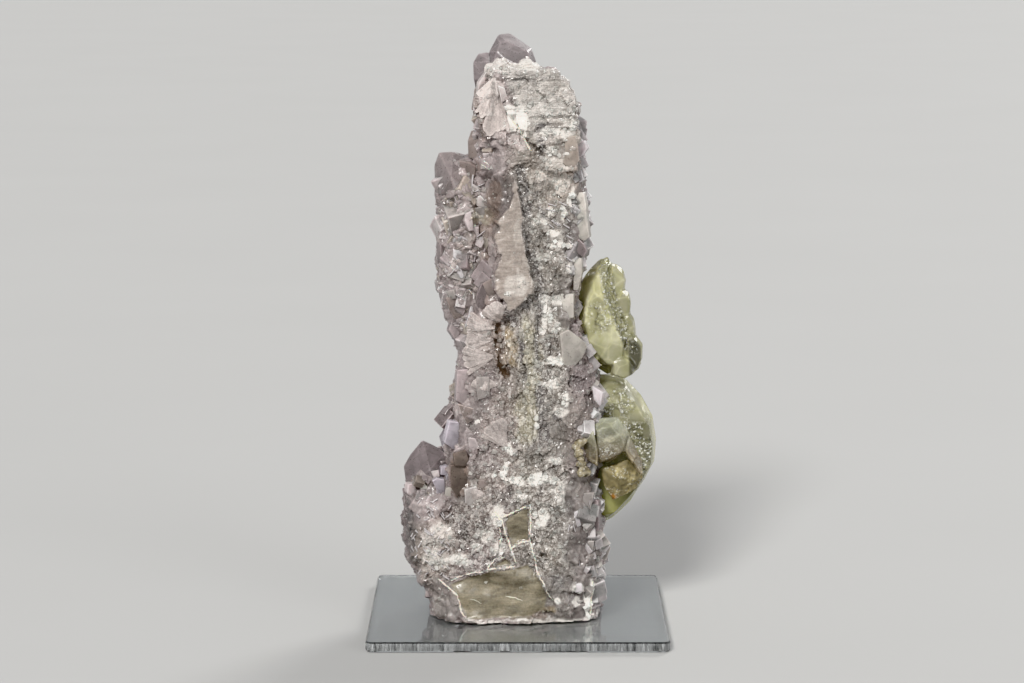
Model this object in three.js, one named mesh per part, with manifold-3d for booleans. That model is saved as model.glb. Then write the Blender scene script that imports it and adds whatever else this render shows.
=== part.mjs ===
// A tall calcite-on-fluorite cabinet specimen standing on a thin clear display plate.
// Millimetres, +Z up. The origin is the middle of the plate's underside. +X is the side that
// carries the calcite, and -Y is the broken rock face. Heights in the specimen's own numbers
// are measured from its sawn foot, which stands a hair above the plate.
import * as THREE from "three";
import { ConvexGeometry } from "three/addons/geometries/ConvexGeometry.js";
import { mergeVertices } from "three/addons/utils/BufferGeometryUtils.js";
import Module from "manifold-3d";

const wasm = await Module();
wasm.setup();

// ---- Driving dimensions -------------------------------------------------------------------

const PLATE = { width: 102, depth: 96, thickness: 3.4, corner: 2, bevel: 0.5 };
const CONTACT_GAP = 0.3; // between a piece and the neighbour that it touches
const FOOT = { x: 0, y: -5, z: PLATE.thickness + CONTACT_GAP }; // where the specimen stands

const COLOURS = {
  fluorite: 0xa79ca2,
  calcite: 0xa8a673,
  smoke: 0x8b8d78,
  ochre: 0xa08a4e,
  honey: 0xc7ab63,
  acrylic: 0xdfe6e8,
};

// Each mass is a rough upright body. A station is [height, left, right, front, back], square is
// the exponent of its rounded outline (1 is an ellipse, smaller is boxier), and rough is how far
// its skin is chipped in and out.
const COLUMN = {
  square: 0.62,
  sides: 24,
  rings: 26,
  rough: 1.1,
  stations: [
    [-3, -29.5, 28, -18, 20],
    [8, -31, 28.5, -20, 21],
    [20, -31, 29.5, -20.5, 22],
    [34, -29, 28.5, -20.5, 22],
    [48, -26, 27.5, -20, 22],
    [62, -24.5, 28, -19.5, 21.5],
    [75, -22.5, 28.5, -19, 21],
    [86, -20.5, 26.5, -18.5, 21],
    [97, -18.5, 22.5, -18, 20.5],
    [108, -16.5, 20, -17.5, 20],
    [120, -15, 21.5, -17.5, 20],
    [132, -14.5, 23, -17, 19.5],
    [146, -14.5, 22.5, -17, 19],
    [158, -14.5, 21.5, -17, 18],
    [168, -13.5, 20.5, -16.5, 17],
    [178, -11, 18.8, -16, 16],
    [184, -9.5, 16.6, -15, 14],
    [187, -7, 13.5, -13, 11],
  ],
};
const UPPER_LOBE = {
  square: 0.75,
  sides: 16,
  rings: 11,
  rough: 1.1,
  stations: [
    [80, -19, -8, -2, 10],
    [86, -21, -6, -5, 12],
    [95, -24.5, -6, -8, 14],
    [108, -27, -4, -10.5, 15],
    [122, -27.8, -4, -11.5, 16],
    [138, -27.6, -4, -12, 16],
    [148, -27.6, -6, -11, 15],
    [154, -26.5, -8, -8, 12],
    [158, -24, -12, -4, 8],
  ],
};
const LOWER_LOBE = {
  square: 0.8,
  sides: 12,
  rings: 9,
  rough: 1.1,
  stations: [
    [5, -29, -20, -8, 8],
    [12, -34.5, -18, -13, 13],
    [20, -38, -18, -16, 15],
    [32, -39.5, -18, -17, 16],
    [42, -38.5, -18, -15.5, 15],
    [48, -37, -20, -13, 13],
    [54, -34, -23, -8, 8],
  ],
};

const GRID_JITTER = 0.38; // of a loft's step
const FULL_TURN = 2 * Math.PI;

// Folds in the broken face: [from x, from z, to x, to z, half-width, height], where a negative
// height is a groove.
const FOLDS = [
  [9.5, 145, 10.9, 109, 4.6, -2.4],
  [10.9, 109, 14.3, 61, 5, -2],
  [-5.1, 104, -1.4, 74, 3.2, -3.6],
  [-9.5, 92, -8, 78, 2.6, -2],
  [-11, 182, 8.5, 155, 4.4, 1.8],
  [1.7, 99, 3.4, 61, 4.6, 1.6],
  [19, 70, 22, 30, 4, 1.4],
  [-16, 14, 12, 3, 6, -1.6],
  [-22, 30, 14, 46, 4.5, 1.3],
  [-12, 120, -11, 150, 4, -3],
];
// Long soft swells of the broken face: [cycles per mm in x, in z, phase, height].
const SWELLS = [
  [0.045, 0.021, 0.3, 0.8],
  [0.08, -0.05, 1.7, 0.5],
  [0.02, 0.11, 2.9, 0.45],
];

// Fluorite cubes standing on a mass, fused to it. Turn 0 is +X, 90 the back, 180 the left and
// 270 the broken face. Bury is the share of the edge that a cube's middle lies below the skin.
const CRUSTS = [
  { mass: COLUMN, count: 22, edge: [3.6, 7], heights: [5, 174], turns: [-42, 40], bury: 0.5, seed: 11 },
  { mass: COLUMN, count: 28, edge: [6, 10], heights: [4, 177], turns: [44, 142], bury: 0.42, seed: 23 },
  { mass: COLUMN, count: 12, edge: [4, 8], heights: [54, 100], turns: [140, 228], bury: 0.45, seed: 37 },
  { mass: COLUMN, count: 5, edge: [3, 5], heights: [158, 180], turns: [150, 235], bury: 0.6, seed: 41 },
  { mass: UPPER_LOBE, count: 27, edge: [4.5, 9], heights: [86, 154], turns: [85, 290], bury: 0.42, seed: 53 },
  { mass: LOWER_LOBE, count: 17, edge: [4, 8], heights: [9, 52], turns: [90, 282], bury: 0.48, seed: 67 },
  { mass: COLUMN, count: 35, edge: [4.5, 10], heights: [4, 172], turns: [212, 326], bury: 0.6, seed: 79 },
];

// Larger single crystals of the crust: [middle x, y, z, edge, tilt about x, y, z in degrees].
const LARGE_CUBES = [
  [-31, 0, 50, 10.5, 32, 41, 12],
  [-2.6, 8, 189.6, 12, 38, 33, 20],
  [-10.4, 8, 186.4, 7.6, 20, 48, 5],
  [-10.2, 7, 169, 7.6, 10, 30, 40],
  [-10.4, 8, 177, 8, 45, 20, 10],
  [3, 7, 186.6, 7.5, 25, 15, 42],
  [-22.5, 1, 150.5, 9, 15, 40, 30],
  [-22, -2, 61, 7, 40, 10, 25],
  [-23.5, -6, 68, 6.4, 20, 35, 40],
  [28.6, -6, 74.5, 6, 10, 28, 20],
];

// The striated block under the top crystals, in cleaved layers: bottom, top, left, right, front,
// and the lean in degrees about x and about z.
const BLOCK_LAYERS = [
  [181.4, 188.2, -8.6, 16.4, -19.4, 2, -2],
  [175.6, 183, -4.4, 18.8, -20.6, -3, 1],
  [169, 177, -1.6, 20, -21.2, 2, 3],
  [162.4, 170.4, 2, 20.4, -20.4, -2, -1],
  [156.4, 164, 6.4, 20, -19.6, 3, 2],
];
const BLOCK_DEPTH = 12;
const BLOCK_CHIP = 1.4; // how far the corners of a layer are off its box

// Slabs of the broken face: outline as [x, z], the front's y, the depth behind it, and the lean
// in degrees about x and about z.
const SLABS = [
  {
    // the shoulder below its ridge
    outline: [
      [-14.6, 178.6], [-10.4, 186.6], [-6.4, 180], [-1.6, 169], [5, 159], [1.6, 156.4],
      [-4.4, 161], [-7, 164], [-10, 163.6], [-12.2, 166], [-13.4, 171],
    ],
    front: -18.6,
    depth: 8,
    lean: [0, 8],
  },
  {
    // the jagged crust plate in front of the upper lobe
    outline: [
      [-1, 149], [-2.8, 141], [-5.6, 138], [-8.7, 135.4], [-7.7, 133.4], [-9, 130.4], [-8.4, 127],
      [-7.2, 124], [-8.9, 120], [-8.9, 114], [-7.8, 108], [-4, 103.5], [2, 104], [4.5, 110],
      [3.6, 118], [1.8, 124], [1.3, 133], [1, 141],
    ],
    front: -21.4,
    depth: 10,
    lean: [-1, 3],
  },
];
const SLAB_BEVEL = 1.3;

// Radiating blades at the foot of that plate and beside the folds:
// [hinge x, hinge z, length, half-width, first turn, last turn, blades, front y].
const FANS = [
  [-6.5, 97.5, 10.5, 2.1, 60, 165, 6, -20.4],
  [-14.5, 86, 9, 2.2, 60, 140, 5, -18.4],
];

// Calcite crystals. Rim points [x, z] lie on the crystal's middle plane, and front and back
// points [x, y, z] stand off it.
const GIRDLE = 1.5; // how far the rim's points lie in front of or behind the middle
const UPPER_CALCITE = {
  middle: 4,
  rim: [
    [30.9, 123.6], [28, 121], [23, 113.4], [20, 108], [19.4, 101], [20.2, 94], [23.6, 87.6],
    [27.4, 83.6], [32.6, 81.8], [40.2, 81.9], [42.4, 85.6], [43, 90.8], [40.4, 101.6], [38.2, 111.6],
    [35.6, 119.6],
  ],
  front: [[27.6, -7.5, 108.6], [32.4, -8.8, 99], [30.2, -8, 88.5], [37.7, -4.5, 87.6]],
  back: [[29.2, 15, 110], [32.2, 16.4, 99], [31.2, 15, 90], [37.2, 13.6, 90]],
};
// Step crystals on the upper one: [middle x, y, z, half-width, half-height].
const UPPER_STEPS = [
  [34.4, 3, 115.4, 3.8, 5.8],
  [38, 5, 107, 2.6, 4.6],
  [39.4, 2, 88.6, 3.9, 6.6],
  [24.2, 0, 92.6, 3.6, 5.2],
  [25.2, 6, 103, 5.4, 8],
];
const LOWER_CALCITE = {
  middle: 6,
  rim: [
    [27.4, 82.6], [32.6, 82.2], [37.2, 80.8], [42.4, 74.8], [46.8, 67.6], [48.2, 59], [47.4, 51.6],
    [44.2, 44.8], [39, 37.6], [33, 31], [28.4, 29.4], [22.6, 38], [20.2, 58], [22.6, 76],
  ],
  front: [[32.4, -3.6, 69], [38.4, -3.6, 58], [33.2, -4.2, 45], [27, -3.6, 54]],
  back: [[32.6, 16.4, 69], [38.8, 16.8, 58], [33.4, 16, 45], [27, 16, 56]],
};
// The small crystals between the lower one and the beads, as hull points [x, y, z].
const SMALL_CALCITE = [
  [25.4, -10.4, 67.2], [28.2, -10, 69.6], [33.6, -9.6, 70], [36.4, -9, 66.4], [39.6, -8.2, 62],
  [37.6, -9.8, 56.8], [31.8, -15, 62.6], [28, -12.4, 53], [31.6, -2, 66], [38.2, -1.4, 60],
  [28.2, -1.4, 54.4],
];
const SIDE_FLAP = [
  [20.2, -18.6, 60], [25.2, -17, 66.4], [27.4, -15.6, 54.8], [24.4, -19.6, 59.6], [29, -8, 62],
  [24, -8, 56],
];
const OCHRE_CALCITE = [
  [28.2, -11.4, 52.2], [37.6, -9.2, 55.2], [43.2, -5.4, 48.4], [40.8, -6.6, 44.2],
  [32.4, -9.4, 40.7], [29.2, -11, 46.8], [35.8, -13.2, 49.6], [31.2, 0, 50], [39.2, 0, 49], [33.2, -1, 43],
];

// Honey-coloured beads in a short chain: [x, y, z, radius].
const HONEY_BEADS = [
  [20.5, -19.2, 62.6, 1.9],
  [19.6, -19.8, 59.6, 1.7],
  [20.8, -19.6, 56.8, 1.9],
  [22.2, -19.8, 53.4, 2.4],
];

// ---- Solids ---------------------------------------------------------------------------------

// A closed three.js geometry as a solid.
function solid(geometry) {
  const bare = geometry.index ? geometry.toNonIndexed() : geometry.clone();
  bare.deleteAttribute("normal");
  bare.deleteAttribute("uv");
  const merged = mergeVertices(bare, 1e-4);
  const mesh = new wasm.Mesh({
    numProp: 3,
    vertProperties: new Float32Array(merged.attributes.position.array),
    triVerts: new Uint32Array(merged.index.array),
  });
  return new wasm.Manifold(mesh);
}

// A solid as a three.js geometry.
function geometryOf(made) {
  const mesh = made.getMesh();
  const position = new THREE.BufferAttribute(new Float32Array(mesh.vertProperties), mesh.numProp);
  return new THREE.BufferGeometry()
    .setAttribute("position", position)
    .setIndex(new THREE.BufferAttribute(new Uint32Array(mesh.triVerts), 1));
}

// Numbers from 0 to 1 in a fixed order for each seed.
function seededRandom(seed) {
  let state = seed >>> 0;
  return () => {
    state = (Math.imul(state, 1664525) + 1013904223) >>> 0;
    return state / 4294967296;
  };
}

// The left, right, front and back edges of a mass at a height.
function edgesAt(stations, height) {
  const last = stations.length - 1;
  let upper = stations.findIndex((station) => station[0] > height);
  if (upper < 0) upper = last;
  upper = Math.max(upper, 1);
  const low = stations[upper - 1];
  const high = stations[upper];
  const share = THREE.MathUtils.clamp((height - low[0]) / (high[0] - low[0]), 0, 1);
  return low.slice(1).map((edge, i) => THREE.MathUtils.lerp(edge, high[i + 1], share));
}

function distanceToSegment(x, z, [ax, az, bx, bz]) {
  const dx = bx - ax;
  const dz = bz - az;
  const along = THREE.MathUtils.clamp(((x - ax) * dx + (z - az) * dz) / (dx * dx + dz * dz), 0, 1);
  return Math.hypot(x - ax - along * dx, z - az - along * dz);
}

// How far the broken face stands proud of its plain form.
function faceRelief(x, z) {
  let relief = 0;
  for (const [inX, inZ, phase, height] of SWELLS) {
    relief += height * Math.sin(2 * Math.PI * (inX * x + inZ * z) + phase);
  }
  for (const fold of FOLDS) {
    const [, , , , halfWidth, height] = fold;
    const near = Math.max(0, 1 - (distanceToSegment(x, z, fold) / halfWidth) ** 2);
    relief += height * near;
  }
  return relief;
}

function reach({ stations }) {
  const bottom = stations[0][0];
  return { bottom, span: stations.at(-1)[0] - bottom };
}

// A number from -1 to 1 that depends only on two whole numbers.
function hashed(i, j) {
  const mixed = Math.imul(i * 374761393 + j * 668265263, 1274126177) >>> 0;
  return ((mixed ^ (mixed >>> 15)) >>> 0) / 2147483648 - 1;
}

// The chips of a mass's skin: random heights on its loft's own grid, joined by straight slopes.
function chips(mass, height, turn) {
  const { bottom, span } = reach(mass);
  const row = ((height - bottom) / span) * mass.rings;
  const column = (((turn / FULL_TURN) % 1) + 1) * mass.sides;
  const [i, j] = [Math.floor(row), Math.floor(column)];
  const at = (di, dj) => hashed(i + di, (j + dj) % mass.sides);
  const low = THREE.MathUtils.lerp(at(0, 0), at(0, 1), column - j);
  const high = THREE.MathUtils.lerp(at(1, 0), at(1, 1), column - j);
  return mass.rough * THREE.MathUtils.lerp(low, high, row - i);
}

// A point on a mass's skin, at a height and a turn about the upright axis.
function skinPoint(mass, height, turn, share = 1) {
  const chip = chips(mass, height, turn);
  const [left, right, front, back] = edgesAt(mass.stations, height).map(
    (edge, i) => edge + (i % 2 ? chip : -chip),
  );
  const power = (value) => Math.sign(value) * Math.abs(value) ** mass.square;
  const x = (left + right) / 2 + ((right - left) / 2) * power(Math.cos(turn)) * share;
  const y = (front + back) / 2 + ((back - front) / 2) * power(Math.sin(turn)) * share;
  const facing = Math.max(0, -Math.sin(turn)) * share;
  return new THREE.Vector3(x, y - facing * faceRelief(x, height), height);
}

// A mass as a closed loft: a unit cylinder whose points are moved to the mass's skin, each a
// random way off its place in the grid, so that the facets are uneven.
function loft(mass) {
  const { bottom, span } = reach(mass);
  const geometry = new THREE.CylinderGeometry(1, 1, 1, mass.sides, mass.rings).rotateX(Math.PI / 2);
  const position = geometry.attributes.position;
  const [step, rise] = [FULL_TURN / mass.sides, span / mass.rings];
  for (let i = 0; i < position.count; i += 1) {
    const [x, y, share] = [position.getX(i), position.getY(i), position.getZ(i) + 0.5];
    const row = Math.round(share * mass.rings);
    const column = (Math.round(Math.atan2(y, x) / step) + mass.sides) % mass.sides;
    const inner = row > 0 && row < mass.rings ? GRID_JITTER : 0;
    const turn = Math.atan2(y, x) + inner * step * hashed(row + mass.rings, column);
    const height = bottom + share * span + inner * rise * hashed(row, column + mass.sides);
    const moved = skinPoint(mass, height, turn, Math.hypot(x, y));
    position.setXYZ(i, moved.x, moved.y, moved.z);
  }
  return solid(geometry);
}

function cube(edge, middle, rotation) {
  const geometry = new THREE.BoxGeometry(edge, edge, edge);
  const place = new THREE.Matrix4().compose(middle, rotation, new THREE.Vector3(1, 1, 1));
  return solid(geometry.applyMatrix4(place));
}

// The cubes of one crust, each with a corner turned roughly outwards.
function crustCubes({ mass, count, edge, heights, turns, bury, seed }) {
  const random = seededRandom(seed);
  const between = ([low, high]) => THREE.MathUtils.lerp(low, high, random());
  const corner = new THREE.Vector3(1, 1, 1).normalize();
  const cubes = [];
  for (let i = 0; i < count; i += 1) {
    const share = (i + random()) / count; // spread evenly up the mass
    const height = THREE.MathUtils.lerp(heights[0], heights[1], share);
    const turn = THREE.MathUtils.degToRad(between(turns));
    const size = between(edge);
    const skin = skinPoint(mass, height, turn);
    const outward = new THREE.Vector3(
      Math.cos(turn) + (random() - 0.5) * 0.7,
      Math.sin(turn) + (random() - 0.5) * 0.7,
      (random() - 0.5) * 0.9,
    ).normalize();
    const spin = new THREE.Quaternion().setFromAxisAngle(corner, random() * Math.PI * 2);
    const rotation = new THREE.Quaternion().setFromUnitVectors(corner, outward).multiply(spin);
    cubes.push(cube(size, skin.addScaledVector(outward, -bury * size), rotation));
  }
  return cubes;
}

function largeCube([x, y, z, edge, tiltX, tiltY, tiltZ]) {
  const angles = [tiltX, tiltY, tiltZ].map(THREE.MathUtils.degToRad);
  const rotation = new THREE.Quaternion().setFromEuler(new THREE.Euler(...angles));
  return cube(edge, new THREE.Vector3(x, y, z), rotation);
}

// A slab lies within its outline and leans about the middle of its front.
function slab({ outline, front, depth, lean }) {
  const middle = outline.reduce((sum, [x, z]) => sum.add(new THREE.Vector2(x, z)), new THREE.Vector2());
  middle.divideScalar(outline.length);
  const shape = new THREE.Shape(outline.map(([x, z]) => new THREE.Vector2(x, z).sub(middle)));
  const options = {
    depth,
    bevelThickness: SLAB_BEVEL,
    bevelSize: SLAB_BEVEL,
    bevelOffset: -SLAB_BEVEL,
    bevelSegments: 1,
  };
  const geometry = new THREE.ExtrudeGeometry(shape, options)
    .rotateX(Math.PI / 2)
    .translate(0, depth, 0)
    .rotateX(THREE.MathUtils.degToRad(lean[0]))
    .rotateZ(THREE.MathUtils.degToRad(lean[1]))
    .translate(middle.x, front + SLAB_BEVEL, middle.y);
  return solid(geometry);
}

function blockLayer([bottom, top, left, right, front, leanX, leanZ], row) {
  const middle = new THREE.Vector3((left + right) / 2, front + BLOCK_DEPTH / 2, (bottom + top) / 2);
  const angles = [leanX, 0, leanZ].map(THREE.MathUtils.degToRad);
  const lean = new THREE.Quaternion().setFromEuler(new THREE.Euler(...angles));
  const corners = [];
  for (let i = 0; i < 8; i += 1) {
    const x = (i & 1 ? 0.5 : -0.5) * (right - left) + BLOCK_CHIP * hashed(i, row);
    const y = (i & 2 ? 0.5 : -0.5) * BLOCK_DEPTH + BLOCK_CHIP * hashed(i, row + BLOCK_LAYERS.length);
    const z = (i & 4 ? 0.5 : -0.5) * (top - bottom) + (BLOCK_CHIP / 2) * hashed(row, i);
    corners.push(new THREE.Vector3(x, y, z).applyQuaternion(lean).add(middle));
  }
  return solid(new ConvexGeometry(corners));
}

// Thin pointed blades that spread from one hinge.
function fanBlades([hingeX, hingeZ, length, halfWidth, first, last, blades, front]) {
  const made = [];
  for (let i = 0; i < blades; i += 1) {
    const turn = THREE.MathUtils.degToRad(THREE.MathUtils.lerp(first, last, i / (blades - 1)));
    const along = new THREE.Vector3(Math.cos(turn), 0, Math.sin(turn));
    const across = new THREE.Vector3(-Math.sin(turn), 0, Math.cos(turn));
    const hinge = new THREE.Vector3(hingeX, front + 1.5, hingeZ);
    const reach = length * (i % 2 ? 0.86 : 1);
    const point = (a, c, y) =>
      hinge.clone().addScaledVector(along, a).addScaledVector(across, c).add(new THREE.Vector3(0, y, 0));
    const points = [
      point(-1.5, 0, 0),
      point(reach, 0, 0),
      point(reach * 0.8, halfWidth, 1),
      point(reach * 0.8, -halfWidth, 1),
      point(reach * 0.7, 0, -1.7),
      point(reach * 0.6, halfWidth, 7),
      point(reach * 0.6, -halfWidth, 7),
      point(-1, 0, 7),
    ];
    made.push(solid(new ConvexGeometry(points)));
  }
  return made;
}

// A convex crystal from its points, moved out by margin all round.
function crystal(points, margin = 0) {
  const middle = points.reduce((sum, p) => sum.add(p), new THREE.Vector3()).divideScalar(points.length);
  const grown = points.map((p) => {
    const out = p.clone().sub(middle);
    return p.clone().addScaledVector(out.normalize(), margin);
  });
  return solid(new ConvexGeometry(grown));
}

function vectors(points) {
  return points.map(([x, y, z]) => new THREE.Vector3(x, y, z));
}

// The points of a flat crystal, whose rim zigzags as the girdle of a dog-tooth crystal does.
function lensPoints({ middle, rim, front, back }) {
  const girdle = rim.map(([x, z], i) => new THREE.Vector3(x, middle + (i % 2 ? GIRDLE : -GIRDLE), z));
  return [...girdle, ...vectors([...front, ...back])];
}

// The points of a step crystal: a squat six-sided spindle.
function spindlePoints([x, y, z, halfWidth, halfHeight]) {
  const points = [new THREE.Vector3(x, y, z + halfHeight), new THREE.Vector3(x, y, z - halfHeight)];
  for (let i = 0; i < 6; i += 1) {
    const turn = (i * Math.PI) / 3;
    const lift = (i % 2 ? 0.28 : -0.28) * halfHeight;
    const side = new THREE.Vector3(Math.cos(turn) * halfWidth, Math.sin(turn) * halfWidth * 1.3, lift);
    points.push(side.add(new THREE.Vector3(x, y, z)));
  }
  return points;
}

function united(solids) {
  return solids.reduce((sum, next) => sum.add(next));
}

// The largest body of a solid: a cut can leave loose chips beside it.
function mainBody(made) {
  return made.decompose().reduce((best, next) => (next.volume() > best.volume() ? next : best));
}

// ---- Pieces ---------------------------------------------------------------------------------

// A crystal's own hull is thinner towards the middle of a face than its grown copy's points say,
// so sockets are cut with a margin well over the contact gap.
const SOCKET_MARGIN = 0.75;

// Every form that stands in the fluorite, as a function of how far its skin is moved out.
const GUESTS = {
  upper_calcite: (margin) =>
    crystals([lensPoints(UPPER_CALCITE), ...UPPER_STEPS.map(spindlePoints)], margin),
  lower_calcite: (margin) => crystals([lensPoints(LOWER_CALCITE)], margin),
  small_calcite: (margin) => crystals([vectors(SMALL_CALCITE), vectors(SIDE_FLAP)], margin),
  ochre_calcite: (margin) => crystals([vectors(OCHRE_CALCITE)], margin),
  honey_beads: (margin) => united(HONEY_BEADS.map((bead) => honeyBead(bead, margin))),
};

function crystals(pointLists, margin) {
  return united(pointLists.map((points) => crystal(points, margin)));
}

function honeyBead([x, y, z, radius], margin) {
  return solid(new THREE.IcosahedronGeometry(radius + margin, 1).translate(x, y, z));
}

// A form with sockets where the named neighbours sit in it.
function socketed(made, neighbours) {
  return mainBody(neighbours.reduce((host, name) => host.subtract(GUESTS[name](SOCKET_MARGIN)), made));
}

function sawnFoot() {
  const size = 4 * PLATE.width;
  return solid(new THREE.BoxGeometry(size, size, size).translate(0, 0, -size / 2));
}

function fluoriteColumn() {
  const parts = [
    loft(COLUMN),
    loft(UPPER_LOBE),
    loft(LOWER_LOBE),
    ...BLOCK_LAYERS.map(blockLayer),
    ...SLABS.map(slab),
    ...FANS.flatMap(fanBlades),
    ...LARGE_CUBES.map(largeCube),
    ...CRUSTS.flatMap(crustCubes),
  ];
  return socketed(united(parts).subtract(sawnFoot()), Object.keys(GUESTS));
}

function displayPlate() {
  const { width, depth, thickness, corner, bevel } = PLATE;
  const halfWidth = width / 2 - bevel;
  const halfDepth = depth / 2 - bevel;
  const shape = new THREE.Shape()
    .moveTo(-halfWidth + corner, -halfDepth)
    .lineTo(halfWidth - corner, -halfDepth)
    .absarc(halfWidth - corner, -halfDepth + corner, corner, -Math.PI / 2, 0)
    .lineTo(halfWidth, halfDepth - corner)
    .absarc(halfWidth - corner, halfDepth - corner, corner, 0, Math.PI / 2)
    .lineTo(-halfWidth + corner, halfDepth)
    .absarc(-halfWidth + corner, halfDepth - corner, corner, Math.PI / 2, Math.PI)
    .lineTo(-halfWidth, -halfDepth + corner)
    .absarc(-halfWidth + corner, -halfDepth + corner, corner, Math.PI, 1.5 * Math.PI);
  const options = {
    depth: thickness - 2 * bevel,
    bevelThickness: bevel,
    bevelSize: bevel,
    bevelSegments: 1,
    curveSegments: 2,
  };
  return new THREE.ExtrudeGeometry(shape, options).translate(0, 0, bevel);
}

function mesh(name, geometry, colour, roughness) {
  const material = new THREE.MeshStandardMaterial({ color: colour, roughness, metalness: 0 });
  const made = new THREE.Mesh(geometry, material);
  made.name = name;
  return made;
}

function piece(name, made, colour, roughness) {
  return mesh(name, geometryOf(made), colour, roughness);
}

// A form from GUESTS, cut where the neighbours that grew over it sit.
function guest(name, colour, roughness, ...neighbours) {
  return piece(name, socketed(GUESTS[name](0), neighbours), colour, roughness);
}

const specimen = new THREE.Group();
specimen.position.set(FOOT.x, FOOT.y, FOOT.z);
specimen.add(
  piece("fluorite_column", fluoriteColumn(), COLOURS.fluorite, 0.55),
  guest("upper_calcite", COLOURS.calcite, 0.3),
  guest("lower_calcite", COLOURS.calcite, 0.3, "small_calcite", "ochre_calcite", "upper_calcite"),
  guest("small_calcite", COLOURS.smoke, 0.25, "ochre_calcite", "honey_beads"),
  guest("ochre_calcite", COLOURS.ochre, 0.6),
  guest("honey_beads", COLOURS.honey, 0.35),
);

const root = new THREE.Group();
root.add(specimen, mesh("display_plate", displayPlate(), COLOURS.acrylic, 0.08));

export default root;
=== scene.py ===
"""A calcite and fluorite cabinet specimen on its clear plate: the looks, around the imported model.

The file is laid out as an add-on and runs as a script. Numbers about the specimen are in
millimetres: x to the calcite's side, y into the rock from its broken face, and z up from the
sawn foot. world() turns them into metres in the model's frame.
"""

import itertools
import math
import random

import bmesh
import bpy
import numpy as np
from bpy.props import FloatProperty, FloatVectorProperty, IntProperty, PointerProperty
from mathutils import Euler, Matrix, Quaternion, Vector
from mathutils.bvhtree import BVHTree

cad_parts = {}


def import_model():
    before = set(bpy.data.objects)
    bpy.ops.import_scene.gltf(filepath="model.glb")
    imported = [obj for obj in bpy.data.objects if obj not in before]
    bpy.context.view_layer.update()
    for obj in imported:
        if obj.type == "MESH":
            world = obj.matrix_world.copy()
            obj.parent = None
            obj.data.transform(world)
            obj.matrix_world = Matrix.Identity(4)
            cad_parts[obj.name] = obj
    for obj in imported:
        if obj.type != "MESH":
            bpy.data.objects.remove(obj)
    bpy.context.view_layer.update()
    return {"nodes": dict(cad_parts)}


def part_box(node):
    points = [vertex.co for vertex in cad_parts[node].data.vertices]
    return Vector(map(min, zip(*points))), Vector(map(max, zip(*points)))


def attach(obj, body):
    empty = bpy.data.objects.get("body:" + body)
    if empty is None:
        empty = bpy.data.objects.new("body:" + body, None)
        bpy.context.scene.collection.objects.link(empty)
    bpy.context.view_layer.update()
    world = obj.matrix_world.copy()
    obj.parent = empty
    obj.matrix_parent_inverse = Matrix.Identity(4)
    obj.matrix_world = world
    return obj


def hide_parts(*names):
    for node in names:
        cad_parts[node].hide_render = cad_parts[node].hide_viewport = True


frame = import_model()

bl_info = {
    "name": "Calcite and Fluorite Specimen",
    "version": (1, 0, 0),
    "blender": (4, 5, 0),
    "location": "View3D > Sidebar > Specimen",
    "description": "Builds a fluorite-crusted column with calcite crystals on a clear plate",
    "category": "Add Mesh",
}

MM = 0.001
FOOT = np.array([0.0, -5.0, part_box("fluorite_column")[0].z / MM])  # the specimen's own origin
# One seed for each piece whose parts are scattered.
SEEDS = {"rock": 5, "crust": 17, "sugar": 29, "fans": 37, "veins": 41, "blades": 53, "beads": 71}


# ---- Forms of the rock, in millimetres ---------------------------------------------------------

# Each mass is a rough upright body: square is the exponent of its rounded outline (1 is an
# ellipse, smaller is boxier), and a station is (height, left, right, front, back).
COLUMN = {
    "square": 0.62,
    "stations": [
        (-1, -30, 28, -19, 20.5), (8, -31, 28.5, -20, 21), (20, -31, 29.5, -20.5, 22),
        (34, -29, 28.5, -20.5, 22), (48, -26, 27.5, -20, 22), (62, -24.5, 28, -19.5, 21.5),
        (75, -22.5, 28.5, -19, 21), (86, -20.5, 26.5, -18.5, 21), (97, -18.5, 22.5, -18, 20.5),
        (108, -16.5, 20, -17.5, 20), (120, -15, 21.5, -17.5, 20), (132, -14.5, 23, -17, 19.5),
        (146, -14.5, 22.5, -17, 19), (158, -14.5, 21.5, -17, 18), (168, -13.5, 20.5, -16.5, 17),
        (178, -11, 17.6, -16, 16), (184, -9.5, 14.6, -15, 14), (187, -7, 12, -13, 11),
    ],
}
UPPER_LOBE = {
    "square": 0.75,
    "stations": [
        (80, -18, -8, -2, 10), (86, -19, -6, -5, 12), (95, -21.4, -6, -8, 14), (101, -23.4, -6, -9, 14),
        (108, -26.4, -4, -10.5, 15), (122, -27.8, -4, -11.5, 16), (138, -27.6, -4, -12, 16),
        (148, -27.6, -6, -11, 15), (154, -26.5, -8, -8, 12), (158, -24, -12, -4, 8),
    ],
}
LOWER_LOBE = {
    "square": 0.8,
    "stations": [
        (5, -29, -20, -8, 8), (12, -34.5, -18, -13, 13), (20, -38, -18, -16, 15), (32, -39.5, -18, -17, 16),
        (42, -38.5, -18, -15.5, 15), (48, -37, -20, -13, 13), (54, -34, -23, -8, 8),
    ],
}

# Folds in the broken face: (path of x and z, half-width, height), grooves below zero.
FOLDS = [
    ([(9.5, 145), (10.9, 109), (14.3, 61)], 4.8, -2.2),
    ([(-5.1, 104), (-1.4, 74)], 3.2, -3.6),
    ([(-9.5, 92), (-8, 78)], 2.6, -2),
    ([(-11, 182), (8.5, 155)], 3.6, 2),
    ([(1.7, 99), (3.4, 61)], 4.6, 1.6),
    ([(19, 70), (22, 30)], 4, 1.4),
    ([(-16, 14), (12, 3)], 6, -1.2),
    ([(-22, 30), (14, 46)], 4.5, 1.3),
    ([(-12, 120), (-10.5, 150)], 4.4, -4),
]
# Long soft swells of the broken face: (cycles per mm in x, in z, phase, height).
SWELLS = [(0.045, 0.021, 0.3, 0.8), (0.08, -0.05, 1.7, 0.5), (0.02, 0.11, 2.9, 0.45)]

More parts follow.
